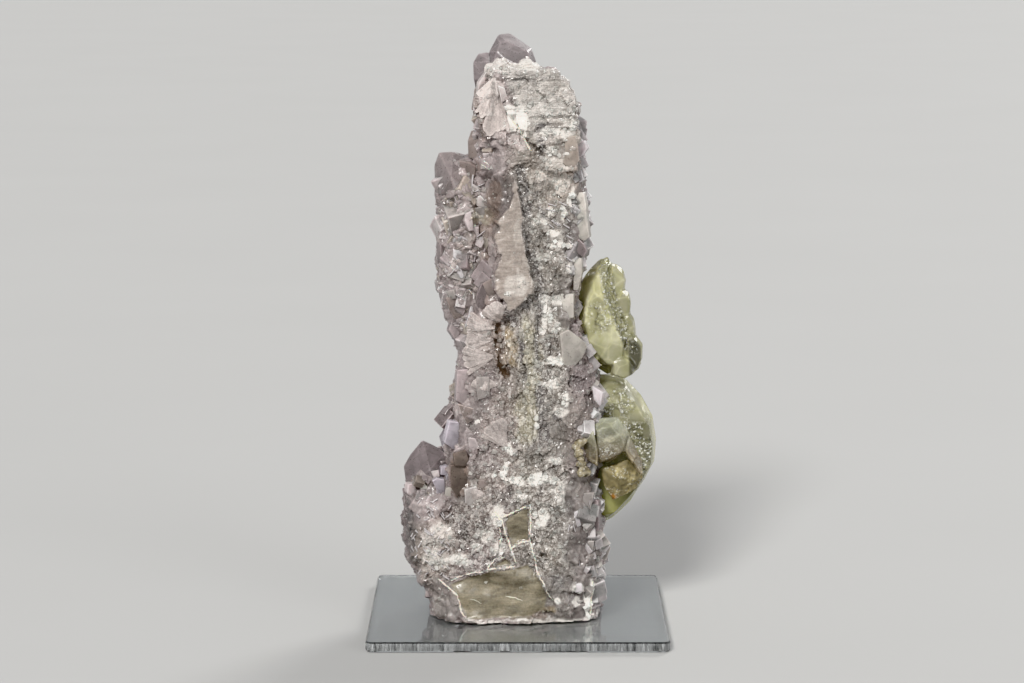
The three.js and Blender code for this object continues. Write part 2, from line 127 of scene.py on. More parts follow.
# The striated block under the top crystals: heights of its foot and top, and its left and right
# edges as (height, x) pairs.
BLOCK = {
    "foot": 155.5,
    "top": 188.2,
    "front": -20.6,
    "depth": 12,
    "left": [(155, 9.5), (160, 8), (170, 1.5), (177, -3.5), (183, -7), (188.5, -9)],
    "right": [
        (155, 20), (165, 20.2), (176.5, 20), (178.4, 18.6), (181, 17.6), (184, 16.4), (186.4, 14.8),
        (188.5, 13.6),
    ],
}

# Slabs of the broken face: outline as (x, z), front, depth and lean in degrees about x and z.
SHOULDER = {
    "outline": [
        (-13.6, 178.6), (-10.4, 187), (-7, 187), (-3, 181), (1, 172), (4.4, 163.4), (2, 160), (-3, 163),
        (-7, 165), (-10, 165), (-12.2, 168), (-13, 172),
    ],
    "front": -18.2, "depth": 8, "lean": (0, 6),
}
CREST = {
    "outline": [
        (-10.4, 183), (-10.6, 187), (-9.8, 189.2), (-7.4, 189), (-6.6, 190.2), (-4, 190.6), (-3, 189.4),
        (-1, 189), (0.6, 188.6), (2, 190), (4.2, 190.4), (5.2, 189.4), (6.8, 189.2), (9, 187.4), (9, 184),
    ],
    "front": -15.8, "depth": 8, "lean": (8, 4),
}
RIDGE_PLATE = {
    "outline": [
        (-1, 153), (-2, 147), (-3.2, 143), (-5.4, 140.6), (-8, 138), (-6.2, 136.2), (-8.4, 133),
        (-6.8, 129.4), (-5.2, 127), (-6.4, 124.4), (-8.2, 121.2), (-8, 117.2), (-7, 113.8), (-4.6, 110.8),
        (-3.4, 107.6), (0.8, 109.4), (3.8, 113.4), (4.9, 118.2), (3.2, 123.6), (2.3, 131.4), (1.9, 140),
        (0.7, 148),
    ],
    "front": -21.4, "depth": 10, "lean": (-1, 3),
}

# Pleated shells, one over the other: hinge x and z, radius, first and last turn in degrees (0 is to
# the right, 90 up), how many pleats, how far the shell stands proud and how light it is.
FANS = [
    (-6, 103.2, 7.6, 72, 156, 9, 0.45, 1.12),
    (-7.3, 101.4, 9.8, 148, 190, 8, 0.45, 1.06),
    (-7.9, 97.6, 9.8, 158, 208, 10, 0.45, 1.02),
    (-7.6, 91.8, 11, 156, 216, 12, 0.45, 0.98),
    (-11.4, 80.4, 4.8, 20, 165, 8, 0.5, 1.05),
    (-3.4, 61, 10.4, 92, 158, 9, 0.4, 0.85),
    (-14.4, 43, 4.2, 30, 170, 6, 0.4, 0.9),
    (-6.8, 185.4, 18.6, 252, 284, 6, 0.2, 1.2),
    (-7.2, 186, 14.4, 238, 266, 5, 0.4, 1.3),
    (-7.6, 186.6, 9.4, 222, 284, 7, 0.5, 1.35),
]
PLEAT_STEPS = 6  # columns of faces in one pleat
SHELL_ROWS = np.linspace(0.05, 1, 12)  # shares of a shell's radius
SHELL_DEPTH = 3
# Ranges of the pleats' lengths as shares of the radius, of their heights and of their tones.
PLEAT_LENGTHS, PLEAT_LEVELS, PLEAT_SHADES = (0.88, 1.06), (-0.1, 0.1), (0.92, 1.08)

# ---- Marks of the broken face, as paths and outlines of (x, z) ----------------------------------

# White veins and bright edges: half-width, then the path.
VEINS = [
    (0.42, [(-5, 37.7), (-1, 39.4), (4.1, 41.9)]),
    (0.36, [(4.1, 41.9), (4.3, 36), (4.1, 29.2), (5.5, 23.5), (6.4, 18.6), (8.6, 14.4), (9.4, 12.6)]),
    (0.42, [(-8.1, 39.4), (-5.4, 36.3), (-4, 31.1), (-2.3, 26.3), (-0.6, 21.7)]),
    (0.45, [(-2.3, 26.3), (0.7, 28.3), (4.1, 29)]),
    (0.32, [(-4, 23.8), (-7.8, 23), (-10.8, 19)]),
    (0.42, [(-10.8, 19), (-6.1, 19.5), (-1, 20.4)]),
    (0.3, [(-10.8, 19), (-18.3, 16.9), (-24.1, 14.1)]),
    (0.38, [(-27.2, 14.8), (-24.1, 12.6), (-20.7, 9.9), (-20, 7.1), (-19.4, 4.3), (-17.7, 1.8)]),
    (0.26, [(9.2, 12.4), (10.6, 9.5), (12, 8)]),
    (0.3, [(-7.6, 26), (-5.6, 30), (-6.4, 34.5)]),
    (0.3, [(-20, 153), (-17.2, 148.6)]),
    (0.26, [(-23.2, 137.8), (-21.4, 141.6)]),
    (0.5, [(-15.2, 134.4), (-14.2, 136)]),
    (0.4, [(-13.6, 132.6), (-11.6, 130.2)]),
    (0.3, [(-12.8, 158.8), (-9.8, 156.4)]),
    (0.24, [(-12.4, 156.4), (-9.4, 155)]),
    (0.3, [(-22.8, 122), (-21.6, 120.4)]),
    (0.24, [(-17.6, 115), (-15.4, 112)]),
    (0.2, [(-21, 87.1), (-15.6, 87.1)]),
    (0.2, [(-20.6, 75), (-15, 73.6)]),
    (0.45, [(15.2, 138.4), (16.2, 141.2)]),
    (0.24, [(10.2, 142.8), (12.4, 139.6)]),
    (0.24, [(-18.2, 100.2), (-16.6, 96.6)]),
    # a thin line of painted highlight running down from the highlight spots, drawn as a white ridge
    (0.42, [(-1.8, 171.6), (0.4, 169), (2.2, 165.2), (4.4, 161.4)]),
    (0.5, [(25.6, 13.6), (25.4, 10.2), (24.9, 7), (25.1, 4), (24.8, 1.4)]),
    (0.2, [(-4.2, 9.5), (-1.4, 9.1), (1.6, 8)]),
    (0.14, [(-16.8, 8.6), (-14.6, 8), (-12.4, 6.6)]),
    (0.16, [(-36.6, 52), (-34.4, 53.4), (-33.4, 51.4)]),
    (0.14, [(-35.4, 50), (-33, 50.8), (-31.6, 53)]),
]
OLIVE_WINDOWS = [
    [(-23.6, 13.6), (-10.8, 18.6), (-1, 20), (4, 21), (8.6, 14), (10.4, 9), (9.4, 4.4), (4, 1.6),
     (-17.6, 1.2), (-20.2, 7)],
    [(-4.8, 37.2), (3.8, 41.2), (3.8, 29.4), (-2, 26.8), (-3.6, 31)],
    [(-10.4, 19.4), (-4, 23.4), (-0.8, 20.6)],
]
# Dark speckled seams: half-width, then the path.
SEAMS = [
    (1.9, [
        (1, 155), (1.4, 150), (2.7, 144), (3.1, 136), (3.8, 129), (5.5, 124), (6.9, 119), (7.4, 113),
        (7.6, 106), (7, 101),
    ]),
    (1.0, [(0.3, 99), (1.2, 94), (2.1, 89), (2.7, 85)]),
    (2.1, [(7.4, 81), (8, 75), (8.2, 68), (9, 64)]),
    (0.9, [(6.2, 147), (7.4, 142), (9.4, 139)]),
    (1.3, [(5.6, 100), (6.4, 94), (6.6, 88)]),
    (1.5, [(8.6, 170), (8.2, 165), (6.8, 160)]),
]
# Painted highlight on the shoulder: a white ridge as a path, then white spots as (x, z, half-width,
# half-height, strength).
PAINTED_HIGHLIGHT_RIDGE = [(-8.6, 184), (-4.4, 177), (-1.2, 171.4)]
PAINTED_HIGHLIGHT_SPOTS = [
    (-0.8, 173, 4, 3, 1), (1.4, 170.4, 1.8, 2, 0.9), (2.6, 167.4, 1, 2, 0.7), (-3, 175.6, 1.6, 1.8, 0.8),
]
YELLOW_RIB = [
    (2.6, 104), (2.7, 101), (4.4, 98), (4.7, 93), (5.3, 88), (5.4, 83.5), (2.6, 78), (3.4, 72), (3, 66),
]
OCHRE_FOLD = [(-3, 101.6), (-2.9, 97.5), (-2, 93), (-0.7, 90)]
BROWN_CLEFT = [(-6.4, 102), (-6.9, 98), (-7, 94), (-5.8, 90), (-4.8, 87.6), (-3.8, 85)]
FOOT_EDGE = [(-17.7, 1.2), (-6, 1), (7.5, 1), (19.5, 1), (27, 1.4)]
RIGHT_STREAK = [(28.2, 18), (27.6, 10), (27.4, 1)]
# Soft patches of the broken face: (x, z, half-width, half-height, strength).
FROST = [
    (-1, 172, 3.8, 4, 0.6), (-6, 189, 5, 2.2, 0.4), (3, 189.3, 5, 1.6, 0.5), (10, 175, 8, 3, 0.2),
    (11.4, 168.6, 3.4, 1.4, 0.6), (16.6, 170.4, 2.4, 4, 0.6), (17.6, 159, 1.5, 2, 0.8),
    (11, 161, 1.8, 2, 0.5), (18.3, 144.6, 0.9, 3, 0.95), (15.4, 139.8, 0.7, 2, 0.8),
    (11.2, 141.2, 0.6, 2.2, 0.5), (8, 137.6, 2.6, 1.2, 0.4), (11.6, 133.2, 1.7, 1.3, 0.7),
    (14, 129.2, 4.2, 0.7, 0.7), (9, 126, 2.6, 0.9, 0.4), (17.8, 121.6, 1, 1.2, 0.6),
    (7.6, 122.6, 0.9, 1.6, 0.5), (-1, 117, 3.6, 3.6, 0.25), (-2.8, 115, 1, 0.8, 0.6),
    (0.6, 118.6, 1, 1.2, 0.4), (10.6, 110.2, 2.6, 1.5, 0.72), (13, 110.2, 1.3, 1.7, 0.66),
    (9.6, 106, 1.3, 3, 0.66), (-5, 99.6, 0.5, 3.6, 0.6), (-2.4, 95, 0.5, 4, 0.4), (9.3, 102, 0.9, 2, 0.62),
    (15, 101.6, 3, 0.9, 0.7), (12, 103.4, 1.6, 1, 0.6), (11.2, 89.8, 2.1, 1, 0.9),
    (13.7, 89.4, 1.1, 1.6, 0.9), (11, 82.6, 2.6, 1, 0.6), (16.3, 77.6, 1, 2.2, 0.85),
    (14.4, 73, 2.6, 1.5, 0.6), (5.3, 70.6, 0.6, 4, 0.6), (-3, 61, 1.1, 1.6, 0.8),
    (-4.2, 53.6, 1.1, 3.4, 0.95), (-1.2, 49.6, 2.8, 1.3, 0.95), (6.6, 50.6, 2.8, 1.8, 0.95),
    (11.2, 49.8, 2.6, 1.2, 0.7), (13, 57, 2, 1, 0.6), (-8.4, 51.2, 0.9, 0.9, 0.9),
    (-13.3, 70.2, 0.7, 0.8, 0.8), (-12.7, 81.6, 0.7, 0.7, 0.9), (8, 38.2, 2.8, 2.2, 0.8),
    (7.4, 35.8, 1.8, 1.4, 0.7), (-7.2, 37.6, 2.2, 3, 0.6), (-11, 31.6, 2.2, 2.2, 0.5),
    (-14.5, 27, 1.4, 1.4, 0.6), (-7, 27.4, 2, 2.8, 0.5), (-20.5, 22, 3.4, 1.9, 0.7), (-28, 22, 4, 3.4, 0.5),
    (-26, 31, 3.4, 4, 0.4), (-31, 29, 2, 3, 0.35), (-24.4, 5, 5, 4, 0.1), (12, 153, 5, 7, 0.25),
    (20.8, 12.2, 1.4, 1.6, 0.8), (24.3, 7, 1, 5.6, 1), (25.5, 11, 1, 3, 0.8), (20.4, 7.2, 1.6, 0.8, 0.7),
    (13.6, 7.6, 0.9, 1.6, 0.6), (14.8, 45, 1.6, 6, 0.4), (1.5, 44.6, 2, 1.5, 0.5),
]
SMOKY_PATCHES = [
    (9.4, 168.4, 3, 3.4, 0.9), (5, 185.8, 7, 1, 0.5), (3.2, 182, 1.6, 1.4, 0.5),
    (-2.4, 178.8, 1.4, 1.4, 0.4), (7.6, 107, 1.8, 5.4, 0.8), (10.4, 162, 1.4, 3, 0.4),
    (2.6, 108.6, 1.8, 1.2, 0.6), (11.4, 95, 2.8, 4, 0.5), (17, 83, 2, 2.4, 0.45),
    (13.4, 71.4, 1.6, 1.6, 0.95), (1.2, 95, 0.9, 5, 0.75), (-2.4, 103.6, 1.2, 2.4, 0.7),
    (-38.6, 27, 2.6, 14, 0.7), (-19, 31, 3, 4, 0.45), (7, 22, 3.4, 3, 0.6), (13.6, 14.4, 2.6, 2.2, 0.6),
    (-4, 44, 5, 3, 0.4), (18.4, 42, 1.8, 3, 0.4), (16, 134, 3.6, 4, 0.35), (-14, 36, 3.6, 2, 0.4),
    (2, 24, 3, 2.2, 0.45),
]
# Brown patches; those along the ridge plate's left edge are painted shade in the recess behind it.
BROWN_AND_SHADE_PATCHES = [
    (-7.4, 146, 2.6, 4.4, 0.65), (-8.8, 139, 2.2, 2.8, 0.65), (-10.8, 133.4, 3, 2.4, 0.55),
    (-11, 127, 1.6, 4, 0.6), (-10.8, 120, 1.4, 3.4, 0.5), (-20, 50.4, 2.8, 5.6, 0.9),
    (-11.8, 47.8, 2, 1.6, 0.7), (-21, 45.6, 1.8, 2.4, 0.7), (2, 2.6, 8, 0.9, 0.6),
    (-15.4, 156, 3.2, 3.2, 0.5), (-11, 168, 1.8, 4, 0.4), (-9.4, 112.6, 2, 4, 0.5),
    (-26.6, 21, 1.2, 2.6, 0.5),
]
BEIGE_PATCHES = [
    (17.4, 163, 3.4, 8, 0.6), (8, 157, 6, 6, 0.5), (-28, 26, 7, 10, 0.5), (-12, 96, 6, 8, 0.4),
    (13, 152, 6, 8, 0.9), (14, 166, 6, 6, 0.5), (-6, 68, 6, 9, 0.35), (-16, 124, 6, 12, 0.3),
]
YELLOW_PATCHES = [
    (4.6, 92, 3.2, 7, 0.6), (3.4, 99.4, 2.6, 2, 0.7), (3, 72, 3.6, 9, 0.6), (-12, 139, 3.6, 3.4, 0.5),
]
OCHRE_PATCHES = [
    (-1.2, 98, 1.9, 2, 0.25), (-4, 94, 1, 5, 0.3), (-1.6, 92.6, 1.1, 4, 0.4), (9.6, 4.6, 3, 1, 0.4),
]
# Where the stone is glassy and smooth, and where it is coarsely mottled in dark and white.
GLASSY = [
    (-18, 79, 5, 12, 0.6), (-38.6, 26, 4, 17, 1), (22.5, 32, 6, 20, 0.9), (20, 68, 8, 9, 0.5),
    (-25, 7, 7, 6, 0.7), (16, 9, 8, 8, 0.9), (8.4, 73, 3, 8, 0.5), (-35, 55, 7, 9, 0.8),
    (-11, 42, 6, 4, 0.4), (21.6, 138, 3, 14, 0.7), (16.4, 110, 3, 7, 0.7), (17.6, 162, 3, 7, 0.7),
    (-32, 54, 7, 7, 0.8), (14, 137, 5, 6, 0.4), (-7.4, 144, 4, 9, 0.7), (-20, 50, 4, 7, 0.8),
]
MOTTLED = [
    (-12, 30, 10, 11, 0.9), (10, 32, 6, 15, 0.85), (0, 50, 13, 7, 0.7), (13, 12, 6, 8, 0.7),
    (6, 178, 9, 8, 0.1), (5, 128, 5, 22, 0.5), (11, 125, 7, 16, 0.5), (10.6, 88, 4.4, 13, 1),
    (3, 86, 8, 22, 0.55), (-26, 20, 5, 6, 0.5), (-10, 70, 7, 10, 0.3),
]
# Where the skin is made of grown-together crystal faces.
FACETED = [
    (-20, 140, 9, 20, 1), (-20, 112, 8, 16, 1), (-22, 92, 5, 10, 1), (-20, 76, 4.6, 12, 0.9),
    (-20, 62, 4, 7, 1), (-33, 50, 9, 12, 1), (-12, 122, 4, 20, 0.9), (-10, 158, 5, 6, 0.8),
]
# Where the grain runs down to the right.
SLANTED = [(12, 133, 7, 10, 1), (-8, 158, 6, 8, 0.6), (14, 22, 6, 8, 0.5)]

# Colours of the rock's parts, as linear red, green and blue.
LILAC = (0.235, 0.2, 0.2)
BEIGE = (0.35, 0.302, 0.268)
GREY_GREEN = (0.25, 0.236, 0.206)
SMOKE = (0.125, 0.116, 0.118)
BROWN = (0.16, 0.118, 0.096)
OLIVE = (0.205, 0.181, 0.131)
OCHRE = (0.42, 0.31, 0.14)
YELLOW_GREY = (0.36, 0.335, 0.235)
PINK = (0.52, 0.455, 0.44)
GLASS_GREY = (0.12, 0.108, 0.1)
CRYSTAL_GREY = (0.26, 0.224, 0.222)
# brown stone darkened by painted shade, for the cleft
CLEFT_SHADE_BROWN = (0.1, 0.066, 0.045)
WHITE = (0.96, 0.92, 0.87)
BLOCK_GREY = (0.45, 0.42, 0.395)


# ---- Numbers ------------------------------------------------------------------------------------

def world(points):
    """Specimen millimetres as metres in the model's frame."""
    return (np.asarray(points, float) + FOOT) * MM


def specimen(points):
    """Metres in the model's frame as specimen millimetres."""
    return np.asarray(points, float) / MM - FOOT


def smooth(value):
    """0 to 1 with soft ends."""
    value = np.clip(value, 0, 1)
    return value * value * (3 - 2 * value)


def hashed(places, salt):
    """Repeatable numbers from 0 to 1 for whole-number places."""
    places = np.asarray(places, np.int64)
    stirred = places[..., 0] * 73856093 ^ places[..., 1] * 19349663 ^ places[..., 2] * 83492791
    stirred = (stirred ^ (salt * 40503 + 977)) & 0xFFFFFFFF
    for _ in range(2):
        stirred = ((stirred ^ (stirred >> 16)) * 0x45D9F3B) & 0xFFFFFFFF
    return (stirred ^ (stirred >> 16)) / 2.0**32


def cloud(points, cell, salt):
    """Smooth noise from -1 to 1 whose swells are about a cell across."""
    place = points / cell
    base = np.floor(place).astype(np.int64)
    share = smooth(place - base)
    total = np.zeros(len(points))
    for corner in itertools.product((0, 1), repeat=3):
        weight = np.prod(np.where(corner, share, 1 - share), axis=1)
        total += weight * hashed(base + corner, salt)
    return total * 2 - 1


def chips(points, cell, slope, salt):
    """Height, tone and border of a skin of flat chips, each a tilted plane with its own tone."""
    base = np.floor(points / cell).astype(np.int64)
    nearest, second = np.full(len(points), np.inf), np.full(len(points), np.inf)
    height, tone = np.zeros(len(points)), np.zeros(len(points))
    for step in itertools.product((-1, 0, 1), repeat=3):
        site = base + step
        middle = (site + np.stack([hashed(site, salt + k) for k in range(3)], -1)) * cell
        away = points - middle
        distance = np.sqrt((away**2).sum(1))
        tilt = np.stack([hashed(site, salt + 3 + k) for k in range(3)], -1) * 2 - 1
        level = (hashed(site, salt + 6) * 2 - 1) * 0.35 * cell
        closer = distance < nearest
        height = np.where(closer, ((away * tilt).sum(1) + level) * slope, height)
        tone = np.where(closer, hashed(site, salt + 7) * 2 - 1, tone)
        second = np.minimum(second, np.maximum(nearest, distance))
        nearest = np.minimum(nearest, distance)
    border = np.clip(1 - (second - nearest) / (0.14 * cell), 0, 1)
    return height, tone, border


def path_distance(x, z, path):
    """Distance of each place from a path."""
    nearest = np.full(np.shape(x), np.inf)
    for (ax, az), (bx, bz) in zip(path, path[1:]):
        dx, dz = bx - ax, bz - az
        along = np.clip(((x - ax) * dx + (z - az) * dz) / (dx * dx + dz * dz), 0, 1)
        nearest = np.minimum(nearest, np.hypot(x - ax - along * dx, z - az - along * dz))
    return nearest


def inside(x, z, outline, soft=0.8):
    """1 well inside an outline, 0 outside it, soft at its edge."""
    within = np.zeros(np.shape(x), bool)
    for (ax, az), (bx, bz) in zip(outline, outline[1:] + outline[:1]):
        crosses = (az > z) != (bz > z)
        with np.errstate(divide="ignore", invalid="ignore"):
            within ^= crosses & (x < (bx - ax) * (z - az) / (bz - az) + ax)
    edge = path_distance(x, z, outline + outline[:1])
    return smooth(np.where(within, edge, -edge) / soft)


def face_relief(x, z):
    """How far the broken face stands proud of its plain form."""
    relief = np.zeros(np.shape(x))
    for in_x, in_z, phase, height in SWELLS:
        relief += height * np.sin(2 * math.pi * (in_x * x + in_z * z) + phase)
    for path, half_width, height in FOLDS:
        relief += height * np.clip(1 - (path_distance(x, z, path) / half_width) ** 2, 0, None)
    return relief


def leaning(points, degrees, stretch):
    """Places turned in the face's plane and squeezed along one direction, for drawn-out patterns."""
    turn = math.radians(degrees)
    x, y, z = points.T
    along = (x * math.cos(turn) + z * math.sin(turn)) / stretch
    return np.stack([along, y, z * math.cos(turn) - x * math.sin(turn)], -1)


def skin(mass, height, turn, share=1.0):
    """Places on a mass's skin, from heights and turns about the upright axis."""
    stations = np.array(mass["stations"], float)
    left, right, front, back = (np.interp(height, stations[:, 0], stations[:, k]) for k in range(1, 5))

    def power(value):
        return np.sign(value) * np.abs(value) ** mass["square"]

    x = (left + right) / 2 + (right - left) / 2 * power(np.cos(turn)) * share
    y = (front + back) / 2 + (back - front) / 2 * power(np.sin(turn)) * share
    facing = np.clip(-np.sin(turn), 0, None) * share
    return np.stack([x, y - facing * face_relief(x, height), height + 0 * x], -1)


# ---- Colour of the rock -------------------------------------------------------------------------

def marks(points):
    """Shares of each kind of mark at places of the specimen, as a dictionary of arrays."""
    wander = np.stack([cloud(points, 5, 5), cloud(points, 5, 9)], -1)
    wander += np.stack([cloud(points, 1.8, 15), cloud(points, 1.8, 19)], -1) * 0.8
    x, y, z = points.T
    wx, wz = x + wander[:, 0], z + wander[:, 1]
    face = smooth((-y - 4) / 8)

    def along(path, half_width):
        return face * smooth(1.35 - path_distance(wx, wz, path) / half_width)

    def patches(spots, edge=1.35):
        share = np.zeros(len(points))
        for sx, sz, half_width, half_height, strength in spots:
            near = smooth((edge - np.hypot((wx - sx) / half_width, (wz - sz) / half_height)) * 2)
            share = np.maximum(share, near * strength)
        return share * face

    plate = face * inside(x, z, RIDGE_PLATE["outline"], 0.6)
    window = np.clip(sum(inside(x, z, outline) for outline in OLIVE_WINDOWS) * face, 0, 1)
    frost = patches(FROST)
    frost = np.maximum(frost, along(RIGHT_STREAK, 1) * 0.7)
    frost = np.maximum(frost, along(FOOT_EDGE, 0.6) * 0.4)
    smoke = patches(SMOKY_PATCHES)
    for half_width, path in SEAMS:
        smoke = np.maximum(smoke, along(path, half_width))
    shoulder = face * inside(wx, wz, SHOULDER["outline"], 1.2)
    block = face * smooth((z - 154) / 5) * smooth((x - np.interp(z, [155, 188], [9, -7])) / 3)
    return {
        "face": face,
        "window": window,
        "frost": frost * (1 - window),
        "smoke": smoke * (1 - window),
        # brown stone, with painted shade around the cleft and in the recess by the ridge plate; the cleft
        # itself is painted darkest
        "brown": np.maximum(along(BROWN_CLEFT, 1.6), patches(BROWN_AND_SHADE_PATCHES)),
        "cleft": face * smooth(1.35 - path_distance(x, z, BROWN_CLEFT) / 0.8),
        "faceted": np.maximum(patches(FACETED, 1.5), 0.8 * (1 - face)),
        "shoulder": shoulder,
        # where a painted highlight lies
        "bright": np.maximum(along(PAINTED_HIGHLIGHT_RIDGE, 0.7), patches(PAINTED_HIGHLIGHT_SPOTS)),
        "upright": face * smooth((12 - np.abs(wx - 6)) / 5) * smooth((158 - z) / 6) * smooth((z - 54) / 8),
        "slant": patches(SLANTED),
        "ochre": np.maximum(along(OCHRE_FOLD, 1.6) * 0.6, patches(OCHRE_PATCHES)),
        "yellow": np.maximum(along(YELLOW_RIB, 2.4) * 0.7, patches(YELLOW_PATCHES)),
        "beige": np.maximum(plate, patches(BEIGE_PATCHES)),
        "plate": plate,
        "middle": face * smooth((13 - np.abs(wx - 8)) / 7),
        "block": block,
        "glassy": patches(GLASSY, 1.6),
        "mottled": patches(MOTTLED, 1.6) * (1 - window),
    }


def paint(points, mark, tone):
    """The rock's colour at places that carry these marks; tone runs from dark to light chips."""
    colour = np.tile(np.array(LILAC), (len(points), 1))
    colour *= (1 + 0.2 * cloud(points, 8, 41) + 0.12 * cloud(points, 3, 43))[:, None]

    def mix(other, share):
        nonlocal colour
        colour = colour + (np.array(other) - colour) * np.clip(share, 0, 1)[:, None]

    mix(BEIGE, 0.45 * mark["face"] * smooth(cloud(points, 11, 47) + 0.5))
    mix(GREY_GREEN, 0.6 * mark["middle"])
    mix(BLOCK_GREY, 0.7 * mark["block"])
    mix(GLASS_GREY, 0.8 * np.clip(mark["glassy"], 0, 1) * mark["face"] * (1 - mark["plate"]))
    mix(CRYSTAL_GREY, 0.8 * mark["faceted"])
    colour *= (1 - 0.3 * smooth((-35 - points[:, 0]) / 3))[:, None]
    mix(BEIGE, 0.85 * mark["beige"])
    colour *= 1 - 0.1 * mark["plate"][:, None]
    mix(PINK, 0.8 * mark["shoulder"])
    mix(YELLOW_GREY, 0.85 * mark["yellow"])
    mix(OCHRE, 0.75 * mark["ochre"])
    strength = 0.1 + 0.5 * mark["mottled"] * (1 - 0.7 * mark["frost"])
    mix(SMOKE, 0.75 * strength * np.clip(-tone * 1.5 - 0.1, 0, 1))
    mix(WHITE, 0.5 * strength * np.clip(tone * 1.5 - 0.3, 0, 1))
    mix(SMOKE, 0.85 * mark["smoke"] * smooth(0.75 - 0.7 * tone))
    # brown stone, with painted shade in the recess by the ridge plate and, darkest, in the cleft
    mix(BROWN, 0.9 * mark["brown"])
    mix(CLEFT_SHADE_BROWN, 0.95 * mark["cleft"])
    mix(OLIVE, 0.95 * mark["window"])
    brushed = 0.34 * cloud(leaning(points, 14, 5), 1.0, 71) + 0.24 * cloud(leaning(points, -24, 4), 1.6, 73)
    colour *= 1 + (mark["window"] * brushed)[:, None]
    # white frost, and white painted highlights
    mix(WHITE, np.maximum(mark["bright"], mark["frost"] * smooth(0.9 + 0.4 * tone)))
    return np.clip(colour, 0.01, 1)


# ---- Meshes -------------------------------------------------------------------------------------

def stored(items, field, width=1, kind=np.int32):
    """One property of all of a mesh's items, as a flat array."""
    values = np.zeros(len(items) * width, kind)
    items.foreach_get(field, values)
    return values


# Painted highlights on a crystal's cut edges, and the range of painted light and shade on its faces, as
# shares of its tint.
EDGE_LIGHTS = (1.05, 1.15, 1.25, 1.6)
FACE_LIGHTS = (0.82, 1.2)


class Heap:
    """Many small closed forms, gathered into one mesh."""

    def __init__(self):
        self.points, self.faces, self.tints, self.lights, self.count = [], [], [], [], 0

    def add(self, points, faces, tint, lights=None):
        """Adds a form with one tint or one for each point, and each face's painted light, as a share of its
        tint.
        """
        self.points.append(points)
        self.faces.extend(tuple(self.count + i for i in face) for face in faces)
        self.tints.append(np.zeros((len(points), 3)) + np.asarray(tint, float))
        self.lights.extend(lights if lights is not None else [1.0] * len(faces))
        self.count += len(points)

    def crystal(self, form, tint, draw, outward=(0.0, -1.0, 0.0), depth=0.32):
        """Adds a crystal with painted light: shade at its root, a glow at its tip, highlights on its edges.
        """
        points, faces, edges = form
        reach = (points - points.mean(0)) @ np.asarray(outward, float)
        share = smooth((reach - reach.min()) / (np.ptp(reach) + 1e-9))
        shades = (1 - depth + 1.25 * depth * share)[:, None] * np.asarray(tint, float)
        bright = draw.choice(EDGE_LIGHTS)
        lights = [draw.uniform(0.9, 1.1) * bright if edge else draw.uniform(*FACE_LIGHTS) for edge in edges]
        self.add(points, faces, shades, lights)

    def build(self, name, material=None):
        """Makes the heap an object, with the tints stored at its faces' corners."""
        made = mesh_object(name, world(np.concatenate(self.points)), self.faces, material)
        mesh = made.data
        corners = stored(mesh.loops, "vertex_index")
        sizes = [len(face) for face in self.faces]
        colours = np.concatenate(self.tints)[corners] * np.repeat(self.lights, sizes)[:, None]
        store_tint(mesh, "CORNER", np.clip(colours, 0.01, 0.95))
        return made


def new_object(name, data):
    """A new object in the scene."""
    made = bpy.data.objects.new(name, data)
    bpy.context.scene.collection.objects.link(made)
    return made


def mesh_object(name, points, faces, material=None):
    """A new flat-shaded object from points in metres."""
    mesh = bpy.data.meshes.new(name)
    mesh.from_pydata([tuple(p) for p in points], [], faces)
    mesh.shade_flat()
    made = new_object(name, mesh)
    if material:
        mesh.materials.append(material)
    return made


def store_tint(mesh, domain, colours):
    """Stores a colour for each vertex or each corner of a mesh."""
    layer = mesh.color_attributes.new("tint", "FLOAT_COLOR", domain)
    values = np.ones((len(colours), 4), np.float32)
    values[:, :3] = colours
    layer.data.foreach_set("color", values.ravel())


def set_tint(made, colours):
    """Stores a colour for each vertex, in place of any earlier ones."""
    old = made.data.color_attributes.get("tint")
    if old:
        made.data.color_attributes.remove(old)
    store_tint(made.data, "POINT", colours)


def set_share(made, name, values):
    """Stores a number for each vertex."""
    layer = made.data.attributes.new(name, "FLOAT", "POINT")
    layer.data.foreach_set("value", np.asarray(values, np.float32))


def shade_by_share(made, rough):
    """Shades a mesh's faces smooth where it is smooth and flat where it is rough."""
    mesh = made.data
    first = stored(mesh.polygons, "loop_start")
    corners = stored(mesh.loops, "vertex_index")
    mesh.polygons.foreach_set("use_smooth", rough[corners[first]] < 0.5)


def vertex_places(made):
    """An object's vertices and their normals, as arrays."""
    places = stored(made.data.vertices, "co", 3, np.float32)
    normals = stored(made.data.vertex_normals, "vector", 3, np.float32)
    return places.reshape(-1, 3).astype(float), normals.reshape(-1, 3).astype(float)


def move_vertices(made, places):
    """Moves an object's vertices to places in metres."""
    made.data.vertices.foreach_set("co", np.asarray(places, np.float32).ravel())
    made.data.update()


def apply_modifiers(made):
    """Replaces an object's mesh by what its modifiers make of it."""
    graph = bpy.context.evaluated_depsgraph_get()
    mesh = bpy.data.meshes.new_from_object(made.evaluated_get(graph))
    made.modifiers.clear()
    old, made.data = made.data, mesh
    bpy.data.meshes.remove(old)


def remeshed(made, voxel):
    """Joins all that a mesh holds into one closed skin of small even faces."""
    remesh = made.modifiers.new("skin", "REMESH")
    remesh.mode = "VOXEL"
    remesh.voxel_size = voxel
    apply_modifiers(made)
    return made


def dress(made, cad_node):
    """Ties a finished piece to the model."""
    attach(made, "root")
    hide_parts(cad_node)


def dress_column(made):
    """Ties a finished piece to the fluorite column."""
    dress(made, "fluorite_column")


def form_of(bm):
    """Points and faces of a bmesh, which is freed."""
    bm.verts.index_update()
    form = np.array([v.co for v in bm.verts]), [tuple(v.index for v in f.verts) for f in bm.faces]
    bm.free()
    return form


